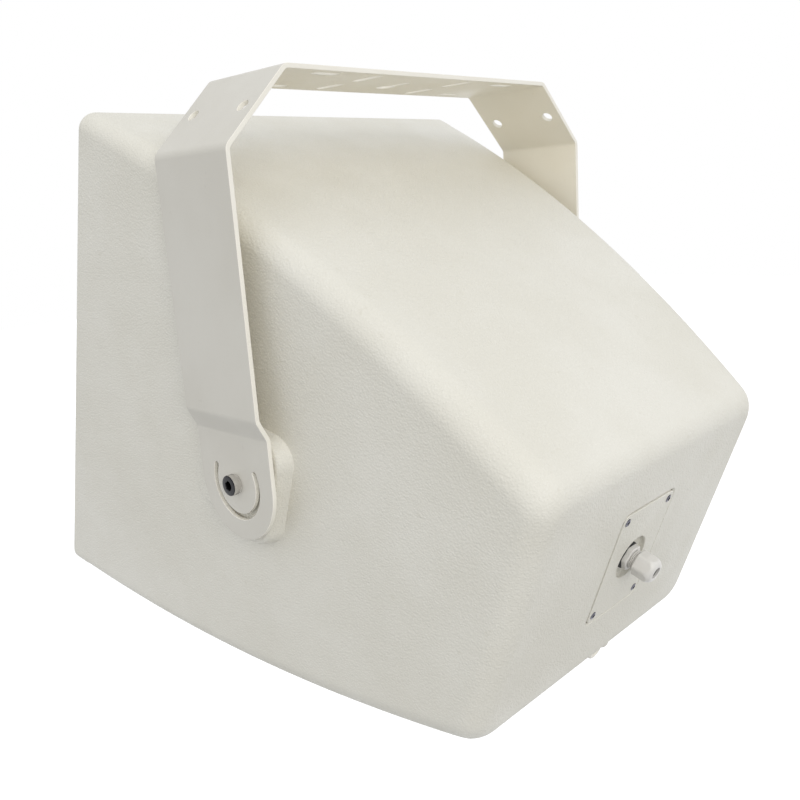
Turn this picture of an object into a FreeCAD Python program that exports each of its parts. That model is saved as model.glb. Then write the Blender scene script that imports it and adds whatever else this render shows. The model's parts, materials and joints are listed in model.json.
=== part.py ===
import FreeCAD, Part
import math
import os

# Public address loudspeaker: a moulded housing hung in a folded steel yoke.
# Units are millimetres. The row frame stands on the yoke: origin at the middle of the outer face of
# its top plate, +Z out of that plate, the loudspeaker's front towards -Y, +X to the right seen from
# the front. The cabinet is drawn in a frame of its own (Y = 0 at its front edge, +Y to the rear, Z = 0
# at its pivots) and is then tilted about the pivots into its rest pose.

V = FreeCAD.Vector

# Housing
cabinet_width = 430.0
cabinet_height = 438.0
cabinet_depth = 450.0
rear_width = 304.0
rear_height = 213.0
wall_bulge = 21.0
long_edge_front_radius = 14.0
long_edge_rear_radius = 24.0
rear_edge_radius = 20.0
front_lip_radius = 4.0
inner_edge_radius = 9.0
inner_edge_rear_radius = 18.0
inner_rear_radius = 12.0
wall_thickness = 6.0
rear_wall_thickness = 8.0
mould_line_depth_from_front = 20.0
mould_line_width = 1.0
mould_line_cut = 0.7

# Yoke: its arms clear the flared sides and its ears lie on the bosses
yoke_side_gap = 2.1
yoke_strip_width = 88.6
yoke_sheet = 3.5
yoke_bend_radius = 7.0
yoke_rise_over_housing = 75.0
yoke_chamfer_run = 55.5
yoke_chamfer_rise = 54.0
joggle_top = 54.8
joggle_bottom = 39.8
rest_tilt = 20.0

# Holes of the yoke
corner_slot_length = 25.0
corner_slot_width = 9.0
corner_slot_spacing_x = 206.0
corner_slot_spacing_y = 62.0
inner_slot_length = 30.0
inner_slot_width = 9.0
inner_slot_spacing_x = 105.0
inner_slot_spacing_y = 44.0
keyhole_diameter = 16.0
keyhole_slot_width = 7.0
keyhole_slot_end = 17.0
keyhole_centre_y = -11.0
chamfer_hole_diameter = 9.4
chamfer_hole_spacing = 60.0

# Pivots
pivot_depth = 221.0
pivot_screw_diameter = 10.0
pivot_screw_length = 26.0
pivot_head_diameter = 16.0
pivot_head_height = 6.2
pivot_socket_width = 7.0
pivot_socket_depth = 3.8
pivot_clearance = 0.3
thread_clearance = 0.05
pivot_washer_diameter = 15.2
pivot_washer_thickness = 1.0
friction_washer_diameter = 36.0
friction_washer_thickness = 2.5
friction_gap = 0.1
pivot_insert_diameter = 14.0
pivot_insert_length = 20.0
boss_height = 90.0
boss_rear_reach = 35.0
boss_front_reach = 60.0
boss_corner_radius = 18.0
boss_stand = 1.94
boss_slope_run = 34.0
boss_slope_spread = 8.0
boss_edge_radius = 3.0
insert_boss_wall = 4.0
arc_slot_radius = 26.3
arc_slot_width = 4.7
arc_slot_half_angle = 115.0
lock_insert_diameter = 6.4
lock_insert_bore = 3.4
lock_insert_length = 8.0

# Grille, foam and waveguide
grille_recess = 2.0
grille_sheet = 1.2
grille_flange = 12.0
front_fit = 0.6
foam_thickness = 6.0
foam_fit = 0.5
grille_screw_diameter = 4.0
grille_screw_head_diameter = 9.0
grille_screw_head_height = 1.8
grille_post_diameter = 13.0
grille_post_inset = 15.0
grille_screw_bite = 10.0
baffle_front = 19.0
baffle_thickness = 6.0
baffle_gasket_thickness = 1.0
ledge_width = 17.0
ledge_thickness = 11.0
baffle_screw_diameter = 5.0
baffle_screw_head_diameter = 9.0
baffle_screw_head_height = 3.0
baffle_screw_bite = 8.0
mouth_margin = 5.3
throat_margin = 1.0
waveguide_length = 76.0
waveguide_wall = 4.0
driver_ring_thickness = 8.0
driver_ring_margin = 6.0

# Driver
driver_gasket_thickness = 1.0
basket_flange_width = 16.0
basket_flange_thickness = 5.0
basket_depth = 84.0
basket_wall = 5.0
basket_back_radius = 86.0
basket_back_inner_radius = 68.0
basket_back_thickness = 4.0
basket_windows = 6
basket_window_angle = 44.0
driver_screw_count = 8
driver_screw_inset = 5.4
driver_screw_diameter = 5.0
driver_screw_head_diameter = 9.0
driver_screw_head_height = 3.5
screw_hole_clearance = 0.3
cone_radius = 120.0
surround_width = 19.0
cone_setback = 2.0
cone_depth = 48.0
cone_paper = 1.5
surround_sheet = 1.4
surround_roll_height = 8.0
soft_gap = 0.3
coil_radius = 38.0
coil_former_wall = 1.0
coil_former_tail = 1.0
coil_winding_thickness = 1.0
coil_winding_length = 14.0
magnet_gap = 1.0
spider_thickness = 1.5
spider_corrugation = 3.0
top_plate_radius = 85.0
top_plate_thickness = 10.0
magnet_radius = 90.0
magnet_inner_radius = 48.0
magnet_thickness = 25.0
back_plate_thickness = 10.0
hf_throat_radius = 13.0
hf_horn_mouth_radius = 31.0
hf_horn_length = 42.0
hf_horn_wall = 2.5
hf_driver_radius = 50.0
hf_driver_length = 46.0
hf_driver_edge_radius = 8.0
hf_driver_chamber = 6.0

# Input plate and cable gland
plate_width = 72.0
plate_height = 100.0
plate_thickness = 3.0
plate_corner_radius = 5.0
plate_proud = 0.3
plate_fit = 1.2
plate_centre_z = 3.0
plate_gasket_thickness = 1.0
plate_screw_spacing_x = 60.0
plate_screw_spacing_z = 87.0
plate_screw_diameter = 3.8
plate_screw_head_diameter = 6.8
plate_screw_length = 14.0
plate_screw_recess_width = 2.2
plate_screw_recess_depth = 1.2
plate_boss_diameter = 10.0
cup_radius = 18.5
cup_depth = 5.0
cup_wall = 3.0
cup_fit = 1.0
gland_thread_diameter = 14.0
gland_bore_diameter = 9.6
gland_hex_width = 19.0
gland_seal_washer_thickness = 2.0
gland_seal_washer_diameter = 26.0
gland_flange_thickness = 5.0
gland_nut_gap = 4.2
gland_thread_length = 11.0
gland_nut_hex_length = 8.0
gland_nut_length = 16.0
gland_mouth_diameter = 9.6
gland_cable_diameter = 8.0
gland_lock_nut_thickness = 5.0
gland_tail = 3.0
gland_fit = 0.1

# Crossover and line transformer inside the rear wall
board_width = 84.0
board_height = 140.0
board_thickness = 1.6
board_centre_x = -86.0
board_standoff_height = 10.0
board_standoff_diameter = 9.0
board_screw_diameter = 3.0
board_screw_head_diameter = 6.0
board_screw_head_height = 2.2
board_screw_inset = 6.0
inductor_radius = 18.0
inductor_hole_radius = 7.0
inductor_height = 18.0
inductor_spacing = 42.0
capacitor_radius = 9.0
capacitor_length = 34.0
capacitor_spacing = 22.0
terminal_width = 44.0
terminal_height = 14.0
terminal_depth = 12.0
terminal_ways = 4
terminal_screw_radius = 2.6
core_width = 66.0
core_height = 55.0
core_stack = 30.0
core_leg = 11.0
core_centre_x = 86.0
core_standoff_height = 14.0
core_standoff_diameter = 10.0
core_screw_diameter = 4.0
core_screw_head_diameter = 7.5
core_screw_head_height = 3.0
winding_overhang = 11.0
winding_gap = 0.4

# Safety anchor under the rear of the housing
anchor_x = -37.0
anchor_inset = 13.3
anchor_pad_diameter = 17.0
anchor_pad_stand = 6.5
anchor_pad_height = 26.0
anchor_insert_diameter = 12.0
anchor_insert_length = 16.0
anchor_screw_diameter = 8.0
anchor_screw_length = 14.0
anchor_washer_diameter = 16.0
anchor_washer_thickness = 1.0
anchor_seat_clearance = 1.0
anchor_collar_diameter = 13.0
anchor_collar_thickness = 1.5
anchor_eye_radius = 7.0
anchor_eye_wire = 4.4

# Reach is longer than any cutting tool needs to pass right through the cabinet.
reach = 2 * (cabinet_width + cabinet_depth)


def half_width(depth):
    """Half the housing's outer width at a depth: its sides are flat and taper to the rear."""
    return (cabinet_width - (cabinet_width - rear_width) * depth / cabinet_depth) / 2


# Places worked out from the sizes above. An arm's front edge leaves the flat of the housing's side at
# arm_edge_depth, which is where the two come closest in the rest pose.
side_flat_height = cabinet_height / 2 - 2 * long_edge_front_radius
lean = math.radians(rest_tilt)
arm_edge_depth = pivot_depth - side_flat_height * math.tan(lean) - yoke_strip_width / 2 / math.cos(lean)
yoke_half_width = half_width(arm_edge_depth) + yoke_side_gap + yoke_sheet
yoke_height = cabinet_height / 2 + yoke_rise_over_housing
boss_face_x = half_width(pivot_depth - yoke_strip_width / 2) + boss_stand
ear_inner_x = boss_face_x + friction_washer_thickness + 2 * friction_gap
ear_outer_x = ear_inner_x + yoke_sheet
rear_inner_y = cabinet_depth - rear_wall_thickness
baffle_back = baffle_front + baffle_thickness
ledge_front = baffle_back + baffle_gasket_thickness
ledge_inset = wall_thickness + ledge_width
mouth_limit = min(half_width(baffle_front), cabinet_height / 2) - ledge_inset
mouth_radius = mouth_limit - waveguide_wall - mouth_margin
basket_flange_inner_radius = cone_radius + surround_width
basket_radius = basket_flange_inner_radius + basket_flange_width
driver_screw_circle = basket_radius - driver_screw_inset
driver_ring_radius = basket_radius + driver_ring_margin
throat_radius = basket_flange_inner_radius + throat_margin
throat_y = baffle_front + waveguide_length
driver_ring_back = throat_y + driver_ring_thickness
driver_seat = driver_ring_back + driver_gasket_thickness
top_plate_front = driver_seat + basket_depth
magnet_front = top_plate_front + top_plate_thickness
back_plate_front = magnet_front + magnet_thickness
back_plate_back = back_plate_front + back_plate_thickness
pole_radius = coil_radius - coil_former_wall - magnet_gap
plate_face_y = cabinet_depth + plate_proud
plate_back_y = plate_face_y - plate_thickness
pocket_floor_y = plate_back_y - plate_gasket_thickness
cup_floor_y = plate_face_y - cup_depth
gland_flange_y = cup_floor_y + gland_seal_washer_thickness
gland_thread_y = gland_flange_y + gland_flange_thickness
gland_nut_y = gland_thread_y + gland_nut_gap
gland_inner_y = cup_floor_y - cup_wall
board_back_y = rear_inner_y - board_standoff_height
board_face_y = board_back_y - board_thickness
core_back_y = rear_inner_y - core_standoff_height
core_face_y = core_back_y - core_stack
anchor_depth = cabinet_depth - anchor_inset
anchor_pad_drop = rear_height / 2 + anchor_pad_stand


def cylinder(axis, radius, start, end, first=0.0, second=0.0):
    """A cylinder along X, Y or Z; first and second are its place on the other two axes, in order."""
    length = end - start
    if axis == "X":
        return Part.makeCylinder(radius, length, V(start, first, second), V(1, 0, 0))
    if axis == "Y":
        return Part.makeCylinder(radius, length, V(first, start, second), V(0, 1, 0))
    return Part.makeCylinder(radius, length, V(first, second, start), V(0, 0, 1))


def block(low, high):
    size = V(*high) - V(*low)
    return Part.makeBox(size.x, size.y, size.z, V(*low))


def slab(start, end):
    """Everything between two depths."""
    return block((-reach, start, -reach), (reach, end, reach))


def turned(outline):
    """A solid turned about the Y axis from (radius, depth) points."""
    points = [V(radius, depth, 0) for radius, depth in outline]
    face = Part.Face(Part.makePolygon(points + points[:1]))
    return face.revolve(V(0, 0, 0), V(0, 1, 0), 360)


def hexagon(width, start, end, x=0.0, z=0.0):
    """A hexagonal prism along Y, measured across its flats."""
    corner = width / math.sqrt(3)
    points = []
    for step in range(6):
        angle = math.radians(60 * step)
        points.append(V(x + corner * math.cos(angle), start, z + corner * math.sin(angle)))
    face = Part.Face(Part.makePolygon(points + points[:1]))
    return face.extrude(V(0, end - start, 0))


def mirrored(shape):
    return shape.mirror(V(0, 0, 0), V(1, 0, 0))


def on_circle(count, radius):
    """Places (x, z) spaced evenly round the Y axis, half a step off the vertical."""
    places = []
    for step in range(count):
        angle = 2 * math.pi * (step + 0.5) / count
        places.append((radius * math.sin(angle), radius * math.cos(angle)))
    return places


def on_rectangle(spacing_x, spacing_z, x=0.0, z=0.0):
    return [(x + sx * spacing_x / 2, z + sz * spacing_z / 2) for sx in (1, -1) for sz in (1, -1)]


def drilled(shape, places, radius, start, end):
    """Holes along Y at (x, z) places."""
    for x, z in places:
        shape = shape.cut(cylinder("Y", radius, start, end, x, z))
    return shape


def edge_along_depth(shape, side, height, length):
    """The long edge of a housing form on one side (+1, -1) at its top or bottom (+1, -1)."""
    for edge in shape.Edges:
        box = edge.BoundBox
        if box.YLength > 0.9 * length and side * box.Center.x > 0 and height * box.Center.z > 0:
            return edge
    raise ValueError("the housing form has lost a long edge")


def sharp_form(inset, rear):
    """The tapered housing with bowed top and bottom walls, moved in by an inset, ending at a depth."""
    front_z = cabinet_height / 2 - inset
    rear_z = rear_height / 2 - inset
    middle_z = (front_z + rear_z) / 2 + wall_bulge
    front_x = cabinet_width / 2 - inset
    rear_x = rear_width / 2 - inset
    top = Part.Arc(V(0, 0, front_z), V(0, rear / 2, middle_z), V(0, rear, rear_z)).toShape()
    end = Part.makeLine(V(0, rear, rear_z), V(0, rear, -rear_z))
    bottom = Part.Arc(V(0, rear, -rear_z), V(0, rear / 2, -middle_z), V(0, 0, -front_z)).toShape()
    mouth = Part.makeLine(V(0, 0, -front_z), V(0, 0, front_z))
    profile = Part.Face(Part.Wire([top, end, bottom, mouth])).extrude(V(2 * front_x, 0, 0))
    profile.translate(V(-front_x, 0, 0))
    corners = [(front_x, 0), (rear_x, rear), (-rear_x, rear), (-front_x, 0)]
    plan = [V(x, y, -front_z) for x, y in corners]
    taper = Part.Face(Part.makePolygon(plan + plan[:1])).extrude(V(0, 0, 2 * front_z))
    return profile.common(taper).Solids[0]


def round_long_edges(form, depth, front_radius, rear_radius):
    """Round the four long edges of a housing form of that depth, more and more to the rear."""
    for side in (1, -1):
        for height in (1, -1):
            edge = edge_along_depth(form, side, height, depth)
            starts_in_front = edge.valueAt(edge.FirstParameter).y < edge.valueAt(edge.LastParameter).y
            radii = (front_radius, rear_radius)
            if not starts_in_front:
                radii = radii[::-1]
            form = form.makeFillet(radii[0], radii[1], [edge])
    return form


def round_rear_edge(form, depth, radius):
    return form.makeFillet(radius, [edge for edge in form.Edges if edge.BoundBox.YMin > depth - 0.01])


def outer_form():
    """The housing's outside: long edges that grow rounder to the rear, and a round rear edge."""
    form = sharp_form(0.0, cabinet_depth)
    form = round_long_edges(form, cabinet_depth, long_edge_front_radius, long_edge_rear_radius)
    form = round_rear_edge(form, cabinet_depth, rear_edge_radius)
    front = [edge for edge in form.Edges if edge.BoundBox.YMax < 0.01]
    return form.makeFillet(front_lip_radius, front)


def inner_form(inset):
    """A form that fits inside the housing at an even distance from its walls, with round long edges."""
    form = sharp_form(inset, rear_inner_y)
    return round_long_edges(form, rear_inner_y, inner_edge_radius, inner_edge_rear_radius)


def front_slice(inset, start, end):
    return inner_form(inset).common(slab(start, end))


def grille_post_places():
    """Corners of the front where a grille screw goes into a post on the baffle."""
    x = half_width(baffle_front) - wall_thickness - front_fit - grille_post_inset
    z = cabinet_height / 2 - wall_thickness - front_fit - grille_post_inset
    return on_rectangle(2 * x, 2 * z)


def baffle_screw_places():
    """Places on the ledge: beside the corners and in the middle of each side."""
    x = half_width(ledge_front) - wall_thickness - ledge_width / 2
    z = cabinet_height / 2 - wall_thickness - ledge_width / 2
    middle = [(x, 0.0), (-x, 0.0), (0.0, z), (0.0, -z)]
    return middle + on_rectangle(2 * x, z) + on_rectangle(x, 2 * z)


def plate_screw_places():
    return on_rectangle(plate_screw_spacing_x, plate_screw_spacing_z, z=plate_centre_z)


def board_screw_places():
    margin = 2 * board_screw_inset
    return on_rectangle(board_width - margin, board_height - margin, x=board_centre_x)


def core_screw_places():
    return on_rectangle(core_width - core_leg, core_height - core_leg, x=core_centre_x)


def rounded_plate(width, height, radius, start, end, z):
    plate = block((-width / 2, start, z - height / 2), (width / 2, end, z + height / 2))
    corners = [edge for edge in plate.Edges if edge.BoundBox.YLength > 0.9 * (end - start)]
    return plate.makeFillet(radius, corners)


def boss_outline(x, grow):
    """The pivot boss's rounded rectangle at a place along X, grown outwards."""
    radius = boss_corner_radius + grow
    top = boss_height / 2 - boss_corner_radius
    rear = pivot_depth + boss_rear_reach - boss_corner_radius
    front = pivot_depth - boss_front_reach + boss_corner_radius
    arcs = []
    for quarter, (y, z) in enumerate([(rear, top), (front, top), (front, -top), (rear, -top)]):
        angles = [math.radians(90 * quarter + turn) for turn in (0, 45, 90)]
        arcs.append([V(x, y + radius * math.cos(angle), z + radius * math.sin(angle)) for angle in angles])
    edges = []
    for arc, following in zip(arcs, arcs[1:] + arcs[:1]):
        edges += [Part.Arc(*arc).toShape(), Part.makeLine(arc[2], following[0])]
    return Part.Wire(edges)


def pivot_boss():
    """The raised pad on the right side wall that the yoke's ear turns against. Its flat face runs out into
    the tapered wall towards the front."""
    foot = boss_outline(boss_face_x - boss_slope_run, boss_slope_spread)
    boss = Part.makeLoft([foot, boss_outline(boss_face_x, 0)], True, True)
    rim = [edge for edge in boss.Edges if edge.BoundBox.XMin > boss_face_x - 0.01]
    return boss.makeFillet(boss_edge_radius, rim)


def enclosure_shell():
    inside = round_rear_edge(inner_form(wall_thickness), rear_inner_y, inner_rear_radius)
    ledge = inside.common(slab(ledge_front, ledge_front + ledge_thickness)).cut(inner_form(ledge_inset))
    bosses = [pivot_boss(), mirrored(pivot_boss())]
    shell = outer_form().fuse(bosses).cut(inside.cut(ledge))

    # Columns inside that hold the threaded inserts and take the screws
    insert_radius = pivot_insert_diameter / 2
    column_start = boss_face_x - pivot_insert_length - insert_boss_wall
    column_radius = insert_radius + insert_boss_wall
    column = cylinder("X", column_radius, column_start, boss_face_x - boss_edge_radius, pivot_depth)
    pad_top = anchor_pad_height - anchor_pad_drop
    pad = cylinder("Z", anchor_pad_diameter / 2, -anchor_pad_drop, pad_top, anchor_x, anchor_depth)
    added = [column, mirrored(column), pad]
    plate_boss_start = plate_face_y - plate_screw_length - insert_boss_wall
    for x, z in plate_screw_places():
        added.append(cylinder("Y", plate_boss_diameter / 2, plate_boss_start, pocket_floor_y, x, z))
    for x, z in board_screw_places():
        added.append(cylinder("Y", board_standoff_diameter / 2, board_back_y, pocket_floor_y, x, z))
    for x, z in core_screw_places():
        added.append(cylinder("Y", core_standoff_diameter / 2, core_back_y, pocket_floor_y, x, z))
    shell = shell.fuse(added)

    # Pocket and hole for the input plate, insert holes, pilot holes and the mould line
    pocket = rounded_plate(
        plate_width + 2 * plate_fit, plate_height + 2 * plate_fit, plate_corner_radius + plate_fit,
        pocket_floor_y, cabinet_depth + plate_thickness, plate_centre_z)
    cup_hole = cylinder("Y", cup_radius + cup_wall + cup_fit, rear_inner_y - 1, cabinet_depth, 0, plate_centre_z)
    pivot_hole = cylinder("X", insert_radius, boss_face_x - pivot_insert_length, boss_face_x + 1, pivot_depth)
    lock_hole = cylinder(
        "X", lock_insert_diameter / 2, boss_face_x - lock_insert_length, boss_face_x + 1,
        pivot_depth, -arc_slot_radius)
    anchor_hole = cylinder(
        "Z", anchor_insert_diameter / 2, -anchor_pad_drop - 1, anchor_insert_length - anchor_pad_drop,
        anchor_x, anchor_depth)
    spot_radius = anchor_washer_diameter / 2 + anchor_seat_clearance
    spot_face = cylinder(
        "Z", spot_radius, -anchor_pad_drop - anchor_pad_height, -anchor_pad_drop, anchor_x, anchor_depth)
    line_start = mould_line_depth_from_front
    line = slab(line_start, line_start + mould_line_width).cut(sharp_form(mould_line_cut, cabinet_depth))
    line = line.cut(pivot_boss()).cut(mirrored(pivot_boss()))
    shell = shell.cut(
        [pocket, cup_hole, pivot_hole, mirrored(pivot_hole), lock_hole, mirrored(lock_hole), anchor_hole,
         spot_face, line])
    pilot_start = plate_face_y - plate_screw_length - 1
    shell = drilled(shell, plate_screw_places(), plate_screw_diameter / 2, pilot_start, cabinet_depth)
    shell = drilled(
        shell, board_screw_places(), board_screw_diameter / 2, board_back_y - 1, rear_inner_y + 2)
    shell = drilled(shell, core_screw_places(), core_screw_diameter / 2, core_back_y - 1, rear_inner_y + 2)
    return drilled(
        shell, baffle_screw_places(), baffle_screw_diameter / 2, ledge_front - 1, ledge_front + baffle_screw_bite)


def folded_strip(path, radius, thickness, width):
    """A sheet bent along (x, z) points of its middle line, extruded to its width about Y = 0."""
    points = [V(x, 0, z) for x, z in path]
    sides = ([], [])
    lines = []
    normals = []
    for start, end in zip(points, points[1:]):
        along = (end - start).normalize()
        lines.append(along)
        normals.append(V(-along.z, 0, along.x))
    half = thickness / 2
    for side, sign in zip(sides, (1, -1)):
        last = points[0] + normals[0] * (sign * half)
        for corner, before, after, normal in zip(points[1:-1], lines, lines[1:], normals):
            turn = math.atan2(before.z * after.x - before.x * after.z, before.dot(after))
            bend = -math.copysign(1, turn)
            reach_back = radius * math.tan(abs(turn) / 2)
            centre = corner - before * reach_back + normal * (bend * radius)
            arm = radius - bend * sign * half
            first = centre - normal * (bend * arm)
            middle = centre + (corner - centre).normalize() * arm
            after_normal = V(-after.z, 0, after.x)
            third = centre - after_normal * (bend * arm)
            side.append(Part.makeLine(last, first))
            side.append(Part.Arc(first, middle, third).toShape())
            last = third
        end = points[-1] + normals[-1] * (sign * half)
        side.append(Part.makeLine(last, end))
    start_cap = Part.makeLine(points[0] + normals[0] * half, points[0] - normals[0] * half)
    end_cap = Part.makeLine(points[-1] + normals[-1] * half, points[-1] - normals[-1] * half)
    outline = Part.Wire(Part.__sortEdges__(sides[0] + sides[1] + [start_cap, end_cap]))
    strip = Part.Face(outline).extrude(V(0, width, 0))
    strip.translate(V(0, -width / 2, 0))
    return strip


def slot(length, width, x, y, along):
    """A round-ended slot through the yoke's top plate."""
    radius = width / 2
    run = length / 2 - radius
    step = V(run, 0, 0) if along == "X" else V(0, run, 0)
    across = V(0, radius, 0) if along == "X" else V(radius, 0, 0)
    centre = V(x, y, yoke_height - 2 * yoke_sheet)
    end = step.normalize() * (length / 2)
    step = end * (run / (length / 2))
    first = Part.makeLine(centre - step + across, centre + step + across)
    cap = Part.Arc(centre + step + across, centre + end, centre + step - across).toShape()
    second = Part.makeLine(centre + step - across, centre - step - across)
    tail = Part.Arc(centre - step - across, centre - end, centre - step + across).toShape()
    return Part.Face(Part.Wire([first, cap, second, tail])).extrude(V(0, 0, 3 * yoke_sheet))


def arc_slot():
    """The curved slot round the pivot in the right ear, open downwards over its half angle."""
    def at(radius, degrees):
        angle = math.radians(degrees - 90)
        return V(ear_inner_x - yoke_sheet, radius * math.cos(angle), radius * math.sin(angle))

    inner = arc_slot_radius - arc_slot_width / 2
    outer = arc_slot_radius + arc_slot_width / 2
    swing = arc_slot_half_angle
    cap_swing = math.degrees(arc_slot_width / 2 / arc_slot_radius)
    edges = [
        Part.Arc(at(outer, -swing), at(outer, 0), at(outer, swing)),
        Part.Arc(at(outer, swing), at(arc_slot_radius, swing + cap_swing), at(inner, swing)),
        Part.Arc(at(inner, swing), at(inner, 0), at(inner, -swing)),
        Part.Arc(at(inner, -swing), at(arc_slot_radius, -swing - cap_swing), at(outer, -swing)),
    ]
    return Part.Face(Part.Wire([edge.toShape() for edge in edges])).extrude(V(3 * yoke_sheet, 0, 0))


def yoke():
    """The folded bracket, drawn with its pivots on the X axis and its top plate up."""
    half = yoke_sheet / 2
    ear_x = ear_outer_x - half
    arm_x = yoke_half_width - half
    ear_end = -yoke_strip_width / 2
    top_z = yoke_height - half
    shoulder_z = yoke_height - yoke_chamfer_rise
    plate_x = yoke_half_width - yoke_chamfer_run
    right = [(ear_x, ear_end), (ear_x, joggle_bottom), (arm_x, joggle_top), (arm_x, shoulder_z), (plate_x, top_z)]
    left = [(-x, z) for x, z in reversed(right)]
    strip = folded_strip(right + left, yoke_bend_radius, yoke_sheet, yoke_strip_width)

    # Round ends about the pivots, cut to the strip's side view
    ends = cylinder("X", yoke_strip_width / 2, -yoke_half_width, yoke_half_width)
    upper = block(
        (-yoke_half_width, -yoke_strip_width / 2, 0), (yoke_half_width, yoke_strip_width / 2, yoke_height))
    body = strip.common(ends.fuse(upper))

    cuts = [slot(keyhole_slot_end - keyhole_centre_y, keyhole_slot_width, 0.0,
                 (keyhole_slot_end + keyhole_centre_y) / 2, "Y")]
    cuts.append(cylinder(
        "Z", keyhole_diameter / 2, yoke_height - 2 * yoke_sheet, yoke_height + 1, 0.0, keyhole_centre_y))
    for x, y in on_rectangle(corner_slot_spacing_x, corner_slot_spacing_y):
        cuts.append(slot(corner_slot_length, corner_slot_width, x, y, "X"))
    for x, y in on_rectangle(inner_slot_spacing_x, inner_slot_spacing_y):
        cuts.append(slot(inner_slot_length, inner_slot_width, x, y, "Y"))
    chamfer_middle = V((arm_x + plate_x) / 2, 0, (shoulder_z + top_z) / 2)
    outward = V(top_z - shoulder_z, 0, arm_x - plate_x).normalize()
    for y in (chamfer_hole_spacing / 2, -chamfer_hole_spacing / 2):
        start = chamfer_middle + V(0, y, 0) - outward * (2 * yoke_sheet)
        hole = Part.makeCylinder(chamfer_hole_diameter / 2, 4 * yoke_sheet, start, outward)
        cuts += [hole, mirrored(hole)]
    pivot_radius = pivot_screw_diameter / 2 + pivot_clearance
    cuts.append(cylinder("X", pivot_radius, -yoke_half_width, yoke_half_width))
    cuts += [arc_slot(), mirrored(arc_slot())]
    return body.cut(cuts)


def socket_screw(diameter, length, head_diameter, head_height, socket_width, socket_depth):
    """A socket screw along Y: the head's underside at Y = 0, its shank towards -Y."""
    head = cylinder("Y", head_diameter / 2, 0, head_height)
    rim = [edge for edge in head.Edges if edge.BoundBox.YMin > head_height - 0.01]
    head = head.makeChamfer(head_height / 12, rim)
    screw = head.fuse(cylinder("Y", diameter / 2, -length, 0))
    return screw.cut(hexagon(socket_width, head_height - socket_depth, head_height + 1))


def pan_screws(places, diameter, head_diameter, head_height, seat, tip, points_back):
    """Screws with drafted heads at (x, z) places, from a head's seat at one depth to a tip at another."""
    direction = 1 if points_back else -1
    screws = []
    for x, z in places:
        head = Part.makeCone(
            head_diameter / 2, 0.4 * head_diameter, head_height, V(x, seat, z), V(0, -direction, 0))
        shank = Part.makeCylinder(diameter / 2, abs(tip - seat), V(x, seat, z), V(0, direction, 0))
        screws.append(head.fuse(shank))
    return Part.makeCompound(screws)


def pivot_hardware():
    """Screw, washers and threaded inserts of the right-hand pivot, keyed by name."""
    head_x = ear_outer_x + friction_gap + pivot_washer_thickness
    screw = socket_screw(
        pivot_screw_diameter, pivot_screw_length, pivot_head_diameter, pivot_head_height,
        pivot_socket_width, pivot_socket_depth)
    screw.rotate(V(0, 0, 0), V(0, 0, 1), -90)
    screw.translate(V(head_x, pivot_depth, 0))
    shank_radius = pivot_screw_diameter / 2
    loose = shank_radius + pivot_clearance

    def ring(outer, inner, start, end, z=0.0):
        disc = cylinder("X", outer, start, end, pivot_depth, z)
        return disc.cut(cylinder("X", inner, start - 1, end + 1, pivot_depth, z))

    return {
        "pivot_screw": screw,
        "pivot_washer": ring(pivot_washer_diameter / 2, loose, ear_outer_x + friction_gap, head_x),
        "friction_washer": ring(
            friction_washer_diameter / 2, loose, boss_face_x, boss_face_x + friction_washer_thickness),
        "pivot_insert": ring(
            pivot_insert_diameter / 2, shank_radius + thread_clearance, boss_face_x - pivot_insert_length,
            boss_face_x),
        "lock_insert": ring(
            lock_insert_diameter / 2, lock_insert_bore / 2, boss_face_x - lock_insert_length, boss_face_x,
            -arc_slot_radius),
    }


def front_grille():
    """A sheet pressed into a shallow tray that sits inside the housing's front rim."""
    outer_inset = wall_thickness + front_fit
    tray = front_slice(outer_inset, grille_recess, grille_recess + grille_flange)
    hollow = front_slice(
        outer_inset + grille_sheet, grille_recess + grille_sheet, grille_recess + grille_flange + 1)
    radius = grille_screw_diameter / 2 + screw_hole_clearance
    return drilled(tray.cut(hollow), grille_post_places(), radius, 0, grille_recess + grille_flange)


def grille_foam():
    start = grille_recess + grille_sheet
    inset = wall_thickness + front_fit + grille_sheet + foam_fit
    sheet = front_slice(inset, start, start + foam_thickness)
    return drilled(sheet, grille_post_places(), grille_post_diameter / 2 + foam_fit, 0, baffle_front)


def grille_screws():
    tip = grille_recess + grille_sheet + grille_screw_bite
    return pan_screws(
        grille_post_places(), grille_screw_diameter, grille_screw_head_diameter, grille_screw_head_height,
        grille_recess, tip, True)


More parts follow.
